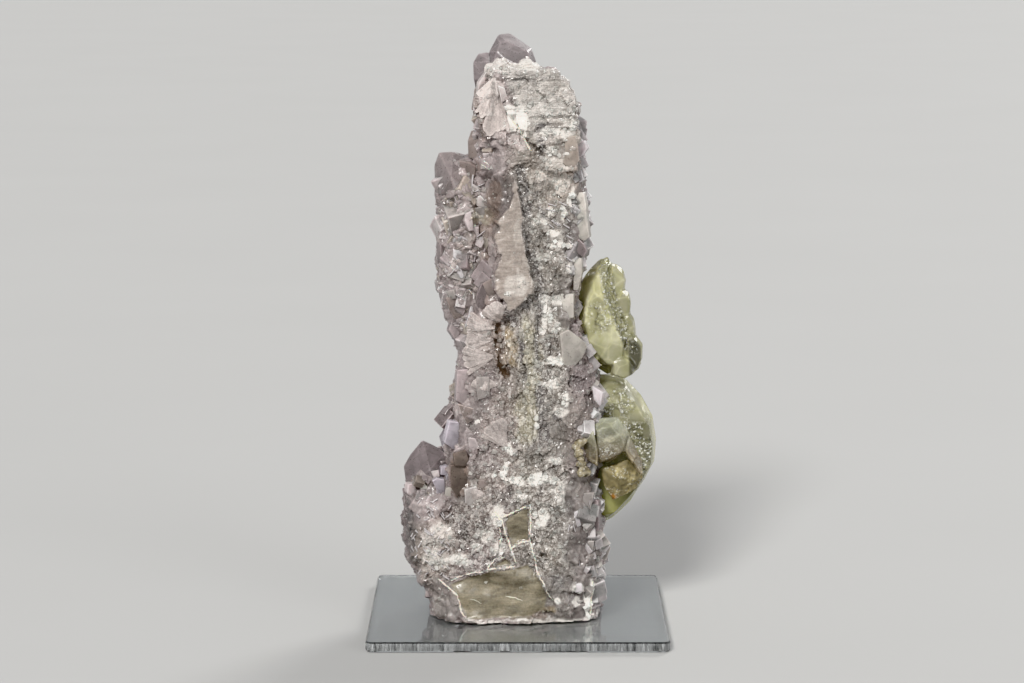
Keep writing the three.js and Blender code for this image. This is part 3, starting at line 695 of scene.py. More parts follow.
def hull_form(points, flatten=1):
    """Points and faces of the convex hull of some points; faces within flatten degrees are joined."""
    bm = bmesh.new()
    for point in points:
        bm.verts.new(point)
    hull = bmesh.ops.convex_hull(bm, input=bm.verts)
    loose = [v for v in hull["geom_interior"] if isinstance(v, bmesh.types.BMVert)]
    bmesh.ops.delete(bm, geom=loose, context="VERTS")
    bmesh.ops.dissolve_limit(bm, angle_limit=math.radians(flatten), verts=bm.verts, edges=bm.edges)
    return form_of(bm)


def chamfered(form, width):
    """A form with its edges cut back, and which of its faces are those cuts."""
    bm = bmesh.new()
    corners = [bm.verts.new(point) for point in form[0]]
    for face in form[1]:
        bm.faces.new([corners[i] for i in face])
    bmesh.ops.recalc_face_normals(bm, faces=bm.faces)
    cuts = bmesh.ops.bevel(
        bm, geom=bm.verts[:] + bm.edges[:], offset=width, segments=1, profile=0.5,
        affect="EDGES", clamp_overlap=True,
    )
    cut_faces = set(cuts["faces"])
    edges = [f in cut_faces for f in bm.faces]
    return (*form_of(bm), edges)


CUBE = (
    np.array(list(itertools.product((-0.5, 0.5), repeat=3))),
    [(0, 1, 3, 2), (4, 6, 7, 5), (0, 4, 5, 1), (2, 3, 7, 6), (0, 2, 6, 4), (1, 5, 7, 3)],
)
CUBE_CUT = 0.045  # width of a cube's cut edges, as a share of its side
CUT_CUBE = chamfered(CUBE, CUBE_CUT)
CAP_SIDES = 9  # a face with so many sides closes the cut between the rock's halves


def turned(form, scale, rotation, place):
    """A form scaled, turned and put in place."""
    turn = np.array(rotation.to_matrix())
    return ((form[0] * scale) @ turn.T + np.asarray(place, float), *form[1:])


def rock_surface():
    """The rock's skin, for rays in specimen millimetres."""
    points, polygons = [], []
    for name, *_ in ROCK_HALVES:
        made = bpy.data.objects[name]
        start = len(points)
        points += [tuple(p) for p in specimen(vertex_places(made)[0])]
        faces = [face.vertices for face in made.data.polygons if len(face.vertices) < CAP_SIDES]
        polygons += [tuple(start + i for i in face) for face in faces]
    return BVHTree.FromPolygons(points, polygons)


def set_out(piece):
    """What a scattered piece starts from: its random draws, the rock's skin and an empty heap."""
    return random.Random(SEEDS[piece]), rock_surface(), Heap()


def hit(surface, origin, direction):
    """Where a ray meets the rock, and the rock's normal there."""
    place, normal, _, _ = surface.ray_cast(Vector(origin), Vector(direction))
    return (None, None) if place is None else (np.array(place), np.array(normal))


# ---- Finishes -----------------------------------------------------------------------------------

def finish(name, **values):
    """A material, its shader and a maker of nodes."""
    material = bpy.data.materials.new(name)
    material.use_nodes = True
    body = material.node_tree.nodes["Principled BSDF"]
    for socket, value in values.items():
        body.inputs[socket.replace("_", " ")].default_value = value
    return material, body


def node(material, kind, **settings):
    """A new node: capitalised settings are sockets, the others are properties."""
    made = material.node_tree.nodes.new(kind)
    for key, value in settings.items():
        if key[0].isupper():
            made.inputs[key.replace("_", " ")].default_value = value
        else:
            setattr(made, key, value)
    return made


def link(material, start, end):
    """Joins a node's output to an input."""
    material.node_tree.links.new(start, end)


def texture(material, kind, size, **settings):
    """A texture whose pattern is about size millimetres across."""
    coordinates = node(material, "ShaderNodeTexCoord")
    made = node(material, kind, Scale=1 / (size * MM), **settings)
    link(material, coordinates.outputs["Object"], made.inputs["Vector"])
    return made


def noise(material, size, detail=4.0, roughness=0.6, distortion=0.0):
    """Noise whose swells are about size millimetres across."""
    swells = dict(Detail=detail, Roughness=roughness, Distortion=distortion)
    return texture(material, "ShaderNodeTexNoise", size, **swells).outputs["Fac"]


def cells(material, size):
    """Cells about size millimetres across, each with a random number."""
    return texture(material, "ShaderNodeTexVoronoi", size).outputs["Color"]


def ramp(material, source, low, high, dark=0.0, light=1.0):
    """Maps low..high of a value to dark..light."""
    made = node(material, "ShaderNodeMapRange", From_Min=low, From_Max=high, To_Min=dark, To_Max=light)
    link(material, source, made.inputs["Value"])
    return made.outputs["Result"]


def mixed(material, share, first, second, blend="MIX"):
    """A mix of two colours, each a socket or a plain colour."""
    made = node(material, "ShaderNodeMix", data_type="RGBA", blend_type=blend)
    for end, value in ((0, share), (6, first), (7, second)):
        if isinstance(value, bpy.types.NodeSocket):
            link(material, value, made.inputs[end])
        else:
            made.inputs[end].default_value = value
    return made.outputs[2]


def calculated(material, first, second, operation="MULTIPLY"):
    """Two numbers, each a socket or a plain number, put through one operation."""
    made = node(material, "ShaderNodeMath", operation=operation)
    for end, value in enumerate((first, second)):
        if isinstance(value, bpy.types.NodeSocket):
            link(material, value, made.inputs[end])
        else:
            made.inputs[end].default_value = value
    return made.outputs[0]


def bumps(material, body, layers):
    """Raises layers of (height socket, distance in millimetres, strength) on a shader."""
    previous = None
    for height, distance, strength in layers:
        made = node(material, "ShaderNodeBump", Distance=distance * MM, Strength=strength)
        link(material, height, made.inputs["Height"])
        if previous:
            link(material, previous.outputs["Normal"], made.inputs["Normal"])
        previous = made
    link(material, previous.outputs["Normal"], body.inputs["Normal"])


def rgba(colour):
    """A colour as the shader's sockets take it."""
    return (*colour[:3], 1.0)


def drawn_out(material, kind, size, stretch, **settings):
    """A texture whose grains are about size millimetres across, drawn out by stretch (x, y, z)."""
    coordinates = node(material, "ShaderNodeTexCoord")
    scale = [1 / (size * MM * share) for share in stretch]
    squeeze = node(material, "ShaderNodeMapping", Scale=scale)
    made = node(material, kind, Scale=1.0, **settings)
    link(material, coordinates.outputs["Object"], squeeze.inputs["Vector"])
    link(material, squeeze.outputs["Vector"], made.inputs["Vector"])
    return made


def streaks(material, size, stretch):
    """Drawn-out noise, as a number."""
    streaky = dict(Detail=4.0, Roughness=0.68, Distortion=0.3)
    return drawn_out(material, "ShaderNodeTexNoise", size, stretch, **streaky).outputs["Fac"]


def grains(material, size, stretch=(1, 1, 1)):
    """Angular grains, each with a random number."""
    return drawn_out(material, "ShaderNodeTexVoronoi", size, stretch).outputs["Color"]


def share_of(material, name):
    """A number painted on a piece."""
    return node(material, "ShaderNodeAttribute", attribute_name=name).outputs["Fac"]


def tint_of(material):
    """The colour painted on a piece."""
    return node(material, "ShaderNodeVertexColor", layer_name="tint").outputs["Color"]


def rock_finish():
    """Granular fluorite rock: painted zones, salt-and-pepper grain, streaks and fine facets."""
    material, body = finish(
        "fluorite_rock", IOR=1.45, Subsurface_Scale=1.2 * MM, Subsurface_Radius=(1.0, 0.85, 0.85),
        Coat_Weight=0.3, Coat_Roughness=0.08,
    )
    tint = tint_of(material)
    grain = share_of(material, "grain")
    patchy = noise(material, 1.8, 4, 0.66, 0.6)
    fine = noise(material, 0.45, 3, 0.75)
    coarse = noise(material, 2.1, 5, 0.7, 0.8)
    facets = cells(material, 0.8)
    small_facets = cells(material, 0.42)
    speckle = ramp(material, fine, 0.3, 0.7, 0.8, 1.2)

    def times(base, factor, share=1.0):
        return mixed(material, share, base, mixed(material, 1.0, base, factor, "MULTIPLY"))

    clouds = ramp(material, coarse, 0.36, 0.64, 0.78, 1.22)
    upright = ramp(material, streaks(material, 0.7, (1, 1, 6)), 0.38, 0.62, 0.74, 1.26)
    level = ramp(material, streaks(material, 0.5, (7, 7, 1)), 0.38, 0.62, 0.82, 1.18)
    toned = times(times(tint, speckle), clouds, grain)
    toned = times(toned, upright, share_of(material, "upright"))
    toned = times(toned, level, share_of(material, "level"))
    angular = calculated(material, grains(material, 0.8, (1, 1, 1.7)), 0.32)
    spread = calculated(material, patchy, angular, "ADD")
    blotches = ramp(material, spread, 0.65, 0.73)
    dim = mixed(material, 1.0, toned, (0.64, 0.61, 0.59, 1), "MULTIPLY")
    blotched = mixed(material, blotches, dim, mixed(material, 0.36, toned, rgba(WHITE)))
    toned = mixed(material, share_of(material, "mottled"), toned, blotched)
    pepper = calculated(material, ramp(material, grains(material, 0.4), 0.34, 0.24), grain)
    salt = calculated(material, ramp(material, small_facets, 0.72, 0.84), grain)
    darker = times(toned, (0.52, 0.5, 0.49, 1), pepper)
    lighter = mixed(material, calculated(material, salt, 0.45), darker, rgba(WHITE))
    link(material, lighter, body.inputs["Base Color"])
    link(material, ramp(material, grain, 0, 0.8, 0.4, 0.04), body.inputs["Subsurface Weight"])
    link(material, ramp(material, facets, 0, 1, 0.12, 0.5), body.inputs["Roughness"])
    height = mixed(material, 0.4, facets, small_facets)
    bumps(material, body, [
        (calculated(material, height, grain), 0.4, 0.9),
        (fine, 0.12, 0.5),
    ])
    return material


def crystal_finish():
    """Clear-edged fluorite crystals: pale, half see-through, with frosted faces."""
    material, body = finish(
        "fluorite_crystal", IOR=1.434, Transmission_Weight=0.18, Subsurface_Weight=0.6,
        Subsurface_Scale=3 * MM, Subsurface_Radius=(1.0, 0.88, 0.92),
    )
    tint = tint_of(material)
    veil = noise(material, 3.2, 2.5, 0.5, 0.9)
    frost = noise(material, 0.8, 3, 0.6)
    shade = ramp(material, veil, 0.34, 0.66, 0.84, 1.2)
    link(material, mixed(material, 1.0, tint, shade, "MULTIPLY"), body.inputs["Base Color"])
    link(material, ramp(material, frost, 0.35, 0.65, 0.26, 0.46), body.inputs["Roughness"])
    bumps(material, body, [(frost, 0.03, 0.2), (veil, 0.4, 0.3)])
    return material


def feather_finish():
    """Feathery grown-together plates: cloudy, with a silky skin."""
    material, body = finish(
        "feathery_fluorite", IOR=1.43, Transmission_Weight=0.12, Subsurface_Weight=0.45,
        Subsurface_Scale=1.4 * MM, Subsurface_Radius=(1.0, 0.9, 0.9),
    )
    tint = tint_of(material)
    feather = noise(material, 1.1, 5, 0.72, 0.8)
    fine = noise(material, 0.4, 3, 0.7)
    shade = ramp(material, feather, 0.36, 0.64, 0.72, 1.26)
    speckle = ramp(material, fine, 0.34, 0.66, 0.84, 1.16)
    toned = mixed(material, 1.0, mixed(material, 1.0, tint, shade, "MULTIPLY"), speckle, "MULTIPLY")
    link(material, toned, body.inputs["Base Color"])
    link(material, ramp(material, feather, 0.35, 0.65, 0.3, 0.6), body.inputs["Roughness"])
    bumps(material, body, [(fine, 0.1, 0.5), (feather, 0.4, 0.6)])
    return material


def vein_finish():
    """Chalky white veins."""
    material, body = finish("white_vein", IOR=1.5, Subsurface_Weight=0.4, Subsurface_Scale=0.8 * MM)
    grain = noise(material, 0.5, 4, 0.7)
    colour = mixed(material, grain, (0.52, 0.48, 0.41, 1), (0.84, 0.8, 0.73, 1))
    link(material, colour, body.inputs["Base Color"])
    link(material, ramp(material, grain, 0.3, 0.7, 0.35, 0.7), body.inputs["Roughness"])
    bumps(material, body, [(grain, 0.2, 0.8)])
    return material


def calcite_finish(name, colour, depth_colour, clearness, frosting):
    """Translucent calcite: smooth and etched faces, tinted through its depth."""
    material, body = finish(
        name, IOR=1.58, Transmission_Weight=clearness, Subsurface_Weight=0.3,
        Subsurface_Scale=2.5 * MM, Subsurface_Radius=(1.0, 0.95, 0.5),
    )
    tint = tint_of(material)
    etch = share_of(material, "etch")
    veil = noise(material, 4, 5, 0.6, 0.4)
    pits = cells(material, 0.5)
    fine = noise(material, 0.5, 4, 0.7)
    shade = mixed(material, ramp(material, veil, 0.32, 0.68), rgba(colour), rgba(depth_colour))
    toned = mixed(material, 1.0, shade, tint, "MULTIPLY")
    ridged = streaks(material, 0.6, (2.4, 1, 1))
    shades = calculated(material, ramp(material, ridged, 0.38, 0.62, -0.3, 0.3), etch)
    toned = mixed(material, 1.0, toned, calculated(material, shades, 1.0, "ADD"), "MULTIPLY")
    # white specks in the etched parts: frosted pits, painted bright as glints
    sparkle = calculated(material, ramp(material, pits, 0.7, 0.76), etch)
    link(material, mixed(material, sparkle, toned, (0.95, 0.95, 0.88, 1)), body.inputs["Base Color"])
    link(material, ramp(material, etch, 0, 1, frosting, 0.3), body.inputs["Roughness"])
    bumps(material, body, [
        (calculated(material, pits, etch), 0.35, 0.9),
        (calculated(material, ridged, etch), 0.9, 1.0),
        (fine, 0.06, 0.4),
        (veil, 0.8, 0.2),
    ])
    return material


def acrylic_finish(colour):
    """Clear polished sheet with faint scratches and haze."""
    material, body = finish("clear_acrylic", IOR=1.49, Transmission_Weight=1.0)
    coordinates = node(material, "ShaderNodeTexCoord")
    stretch = node(material, "ShaderNodeMapping", Scale=(1, 60, 60))
    scratches = node(material, "ShaderNodeTexNoise", Scale=40, Detail=6.0, Roughness=0.7)
    link(material, coordinates.outputs["Object"], stretch.inputs["Vector"])
    link(material, stretch.outputs["Vector"], scratches.inputs["Vector"])
    tone = mixed(material, scratches.outputs["Fac"], rgba(colour), (0.97, 0.985, 0.99, 1))
    parts = node(material, "ShaderNodeSeparateXYZ")
    link(material, node(material, "ShaderNodeNewGeometry").outputs["True Normal"], parts.inputs[0])
    flat = calculated(material, parts.outputs["Z"], 0.0, "ABSOLUTE")
    edge_clear = ramp(material, streaks(material, 0.9, (1, 1, 9)), 0.36, 0.66, 0.72, 0.97)
    clear = node(material, "ShaderNodeMix", data_type="FLOAT")
    link(material, flat, clear.inputs["Factor"])
    link(material, edge_clear, clear.inputs["A"])
    clear.inputs["B"].default_value = 1.0
    link(material, clear.outputs[0], body.inputs["Transmission Weight"])
    link(material, tone, body.inputs["Base Color"])
    link(material, ramp(material, scratches.outputs["Fac"], 0.4, 0.75, 0.01, 0.09), body.inputs["Roughness"])
    bumps(material, body, [(scratches.outputs["Fac"], 0.02, 0.15)])
    return material


# ---- Rock ---------------------------------------------------------------------------------------

# The rock is made in two halves that overlap a little, the broken face finer than the back: name,
# size of the faces, the plane where it ends and the side it ends on.
ROCK_HALVES = [("fluorite_rock_face", 1.0, -3.0, 1), ("fluorite_rock_back", 1.6, -5.0, -1)]


def loft_form(mass, sides, rings):
    """Points and faces of a mass as a closed loft."""
    stations = mass["stations"]
    heights = np.linspace(stations[0][0], stations[-1][0], rings)
    turns = np.linspace(0, 2 * math.pi, sides, endpoint=False)
    points = [skin(mass, np.full(sides, h), turns) for h in heights]
    ends = [skin(mass, np.array([h]), np.array([0.0]), 0.0) for h in (heights[0], heights[-1])]
    faces = []
    for row in range(rings - 1):
        for k in range(sides):
            a, b = row * sides + k, row * sides + (k + 1) % sides
            faces.append((a, b, b + sides, a + sides))
    low, high, last = rings * sides, rings * sides + 1, (rings - 1) * sides
    for k in range(sides):
        faces.append((low, (k + 1) % sides, k))
        faces.append((high, last + k, last + (k + 1) % sides))
    return np.concatenate(points + ends), faces


def slab_form(slab):
    """Points and faces of a leaning slab."""
    outline = np.array(slab["outline"], float)
    middle = outline.mean(0)
    lean_x, lean_z = (math.radians(angle) for angle in slab["lean"])
    turn = Euler((lean_x, 0, lean_z)).to_quaternion()
    flat = outline - middle
    front = np.stack([flat[:, 0], 0 * flat[:, 0], flat[:, 1]], -1)
    back = front + (0, slab["depth"], 0)
    count = len(outline)
    area = sum(a[0] * b[1] - b[0] * a[1] for a, b in zip(outline, np.roll(outline, -1, 0)))
    ring = list(range(count)) if area > 0 else list(range(count))[::-1]
    faces = [tuple(ring), tuple(i + count for i in ring[::-1])]
    faces += [(a, a + count, b + count, b) for a, b in zip(ring, ring[1:] + ring[:1])]
    place = (middle[0], slab["front"], middle[1])
    return turned((np.concatenate([front, back]), faces), 1.0, turn, place)


def block_forms(draw):
    """The striated block as thin cleaved layers with uneven edges."""
    height, forms = BLOCK["foot"], []
    while height < BLOCK["top"] - 0.8:
        thick = min(draw.uniform(1.5, 3.2), BLOCK["top"] - height)
        middle = height + thick / 2
        left = np.interp(middle, *zip(*BLOCK["left"])) + draw.uniform(-0.8, 0.8)
        right = np.interp(middle, *zip(*BLOCK["right"])) + draw.uniform(-1.2, 0.2)
        front = BLOCK["front"] + draw.uniform(-0.5, 0.7)
        turn = Euler([math.radians(draw.uniform(-3, 3)) for _ in range(3)]).to_quaternion()
        place = ((left + right) / 2, front + BLOCK["depth"] / 2, middle)
        forms.append(turned(CUBE, (right - left, BLOCK["depth"], thick + 0.5), turn, place))
        height += thick
    return forms


def halved(made, level, side):
    """Keeps what lies on one side of an upright plane across y, and closes the cut."""
    bm = bmesh.new()
    bm.from_mesh(made.data)
    place = Vector(world(np.array([(0.0, level, 0.0)]))[0])
    every = bm.verts[:] + bm.edges[:] + bm.faces[:]
    rim = bmesh.ops.bisect_plane(
        bm, geom=every, dist=1e-7, plane_co=place, plane_no=(0, side, 0), clear_outer=True,
    )["geom_cut"]
    bmesh.ops.holes_fill(bm, edges=[e for e in rim if isinstance(e, bmesh.types.BMEdge)], sides=0)
    bm.to_mesh(made.data)
    bm.free()


def rock_skin(points):
    """Height, colour with its painted shade and highlights, and the shares of each kind of grain over the
    rock's skin.
    """
    mark = marks(points)
    plain = np.maximum(np.maximum(mark["window"], 0.8 * mark["glassy"]), 0.92 * mark["plate"])
    plain = np.maximum(plain, 0.95 * mark["faceted"])
    plain = np.maximum(plain, np.maximum(mark["cleft"], 0.6 * mark["bright"]))
    rough = 1 - 0.9 * np.clip(plain, 0, 1)
    large, large_tone, _ = chips(points, 6, 0.26, 101)
    medium, medium_tone, _ = chips(points, 2.7, 0.3, 202)
    small, small_tone, _ = chips(points, 1.3, 0.42, 303)
    layers, layers_tone, _ = chips(leaning(points, 2, 6), 0.9, 0.28, 211)
    upright, upright_tone, _ = chips(leaning(points, 92, 4), 1.5, 0.45, 221)
    slanting, slanting_tone, _ = chips(leaning(points, -34, 4), 1.4, 0.5, 231)
    stepped, stepped_tone, _ = chips(leaning(points, -62, 4), 1.5, 0.7, 237)
    facets, facet_tone, facet_edge = chips(points, 4.6, 0.42, 241)
    flakes, flake_tone, flake_edge = chips(points, 2.3, 0.4, 251)
    ways = [
        (mark["block"], layers, layers_tone),
        (0.75 * mark["upright"], upright, upright_tone),
        (mark["slant"], slanting, slanting_tone),
        (mark["shoulder"], stepped, stepped_tone),
    ]
    tone = 0.3 * large_tone + 0.45 * medium_tone + 0.55 * small_tone
    broken = 0.6 * medium + 0.9 * small
    for share, drawn, drawn_tone in ways:
        broken = broken + (drawn - broken) * 0.8 * share
        tone = tone + (drawn_tone - tone) * 0.7 * share
    height = (0.7 * large + broken) * rough
    crystal = np.maximum(mark["faceted"], 0.7 * np.clip(mark["glassy"], 0, 1)) * (1 - mark["window"])
    height += (0.9 * facets + 0.6 * flakes) * crystal
    height += 0.12 * mark["plate"] * cloud(points * (0.15, 0.15, 1), 1.2, 67)
    # painted shade: darker in the hollows and lighter on the raised chips
    shade = 1 + 0.2 * np.clip(height / 0.8, -1.4, 1)
    # crystal faces differ in tone at random, and carry painted highlights along their edges
    shade *= 1 + crystal * (0.16 * facet_tone + 0.1 * flake_tone + 0.3 * facet_edge + 0.15 * flake_edge)
    height -= 0.5 * mark["window"] + 0.5 * mark["smoke"] + 0.4 * mark["brown"] + 1.5 * mark["cleft"]
    height += 0.3 * mark["bright"]
    # no painted shade under the painted highlight
    shade += (1 - shade) * mark["bright"]
    height += 0.3 * mark["frost"] * rough
    colour = paint(points, mark, tone) * shade[:, None]
    layered = mark["block"] + 0.8 * mark["window"] + 0.9 * mark["plate"]
    grain = 0.25 + 0.6 * mark["mottled"] + 0.7 * mark["smoke"] + 0.3 * mark["block"] - 0.6 * plain
    shares = {
        "grain": np.clip(grain, 0.06, 1) * (1 - 0.6 * mark["frost"]) * (1 - mark["bright"]),
        "upright": mark["upright"] * rough * (1 - mark["slant"]),
        "mottled": 0.8 * mark["mottled"] * rough * (1 - mark["frost"]) * (1 - mark["bright"]),
        "level": np.clip(layered, 0, 1) * (1 - mark["bright"]),
    }
    return height, colour, shares, rough


def build_rock(voxel):
    """The rock in two halves, from smooth masses, slabs and layers to a broken, painted skin."""
    draw = random.Random(SEEDS["rock"])
    heap = Heap()
    for mass, sides, rings in ((COLUMN, 96, 130), (UPPER_LOBE, 48, 50), (LOWER_LOBE, 48, 40)):
        heap.add(*loft_form(mass, sides, rings), WHITE)
    for form in block_forms(draw) + [slab_form(slab) for slab in (SHOULDER, CREST, RIDGE_PLATE)]:
        heap.add(*form, WHITE)
    material = rock_finish()
    for name, size, level, side in ROCK_HALVES:
        made = remeshed(heap.build(name), voxel * size)
        halved(made, level, side)
        places, normals = vertex_places(made)
        points = specimen(places)
        height, colour, shares, rough = rock_skin(points)
        moved = points + normals * height[:, None]
        moved[:, 2] = np.maximum(moved[:, 2], 0.02)
        move_vertices(made, world(moved))
        set_tint(made, colour)
        for share, values in shares.items():
            set_share(made, share, values)
        shade_by_share(made, rough)
        made.data.materials.clear()
        made.data.materials.append(material)
        dress_column(made)


# ---- Crystals of the crust ----------------------------------------------------------------------

# Tints of single crystals.
PALE = (0.62, 0.57, 0.585)
PINK_WHITE = (0.6, 0.535, 0.52)
BLUE_LILAC = (0.45, 0.415, 0.455)
DULL_LILAC = (0.36, 0.308, 0.31)
TOP_LILAC = (0.255, 0.224, 0.228)
GREY_LILAC = (0.19, 0.164, 0.167)
LIGHT_LILAC = (0.5, 0.435, 0.435)
BROWN_LILAC = (0.28, 0.235, 0.22)
DARK_GLASS = (0.16, 0.13, 0.113)
CLEAR_GREY = (0.31, 0.282, 0.27)
FAN_GREY = (0.45, 0.4, 0.38)
GREY_VEIL = (0.48, 0.448, 0.412)
FROSTED = (0.46, 0.425, 0.41)

# Where crystals stand: the mass, heights, turns in degrees (0 is +x, 90 the back, 180 the left and
# 270 the broken face), how many, their edges, and how deep their middles lie, as a share of the edge.
CRUSTS = [
    (COLUMN, (3, 168), (-44, 40), 430, (1.8, 7), 0.5),
    (COLUMN, (2, 182), (40, 148), 620, (2.4, 9.5), 0.4),
    (COLUMN, (50, 91), (148, 206), 130, (2, 6), 0.8),
    (COLUMN, (158, 184), (150, 226), 40, (2, 5), 0.5),
    (UPPER_LOBE, (84, 150), (80, 150), 130, (2, 7.5), 0.62),
    (UPPER_LOBE, (96, 147), (150, 214), 100, (1.6, 5), 0.84),
    (UPPER_LOBE, (94, 153), (214, 300), 230, (2.8, 8.5), 0.8),
    (LOWER_LOBE, (8, 54), (85, 150), 90, (1.8, 6.5), 0.55),
    (LOWER_LOBE, (8, 44), (150, 196), 60, (1.8, 5), 0.84),
    (LOWER_LOBE, (42, 50), (190, 262), 60, (1.4, 3.4), 0.6),
]
# Larger single crystals: (middle x, y, z, edge, tilt about x, y, z in degrees, tint).
LARGE_CRYSTALS = [
    (-10.4, 8, 177, 8, 45, 20, 10, BROWN_LILAC),
    (-22, -2, 61, 7, 40, 10, 25, BLUE_LILAC),
    (-23.5, -6, 68, 6.4, 20, 35, 40, LILAC),
    (26.6, -8, 75, 4.8, 10, 28, 20, PALE),
]
# Rough crystals as the corners of their hulls, with a tint.
ROUGH_CRYSTALS = [
    ([
        (-10.4, 5, 191.2), (-9.7, 5, 193.2), (-7.1, 7, 197.8), (-6.6, 9, 198.7), (-3.2, 12, 199),
        (-1.6, 10, 198.4), (4.6, 5.6, 194.2), (6.3, 4, 189.6), (6.6, 3, 186), (-6, 2.6, 196.4),
        (-3.8, 2.9, 196.9), (-1.2, 2, 195.3), (1, 1.5, 194.4), (3.3, 0.9, 193.3), (4.2, -0.7, 190.4),
        (1.4, -1.7, 188.7), (-2, -1.1, 189.8), (-4.9, -0.2, 191.3), (-7.1, 1, 193.4), (-9, 0.4, 188),
        (0, -2, 186.6), (-7, 13, 194), (2, 15, 192), (5, 13, 187), (-9, 13, 187), (-2.4, 15, 198.2),
    ], TOP_LILAC),
    ([
        (-15.2, 5, 189.4), (-13.4, 6, 192.4), (-10, 5, 193), (-8.6, 2, 190), (-15, 4, 184), (-10, 0, 183),
        (-13, 13, 190), (-9, 13, 189), (-14.4, 8, 180), (-9, 11, 181),
    ], TOP_LILAC),
    ([
        (-14.8, 3, 181), (-14.6, 2.4, 166), (-15.4, 7, 173), (-10, -2, 181), (-10, -3, 166), (-10, 12, 180),
        (-11, 12, 166),
    ], BROWN_LILAC),
    ([
        (-28.2, 2, 144.6), (-28.4, 1, 155), (-26.8, 1, 159.2), (-22, 0, 159.6), (-19, 0, 158),
        (-15.8, -3, 156.6), (-15.6, -7, 151), (-18.4, -11.4, 148.4), (-22.6, -12.6, 152.6),
        (-25.8, -9.6, 146), (-20.6, -12.6, 145.4), (-25, 10, 157), (-19, 9, 156), (-26, 10, 147),
    ], CRYSTAL_GREY),
    ([
        (-17, -2, 163.6), (-15.8, -1, 167), (-11, -5, 166.4), (-11.4, -8, 158), (-16.8, -4, 157.6),
        (-12, 5, 166), (-15, 6, 158),
    ], BROWN_LILAC),
    ([
        (-39.2, -4, 51.6), (-37, -4, 55.6), (-32.8, -3, 60.6), (-29, -4, 59), (-25, -6, 56.8),
        (-24.4, -10, 51), (-30, -11.6, 52), (-34, -10.6, 49), (-38.4, -8, 47), (-29, -12, 45), (-38, 6, 50),
        (-33, 8, 57), (-26, 7, 55), (-33, 4, 42),
    ], GREY_LILAC),
]
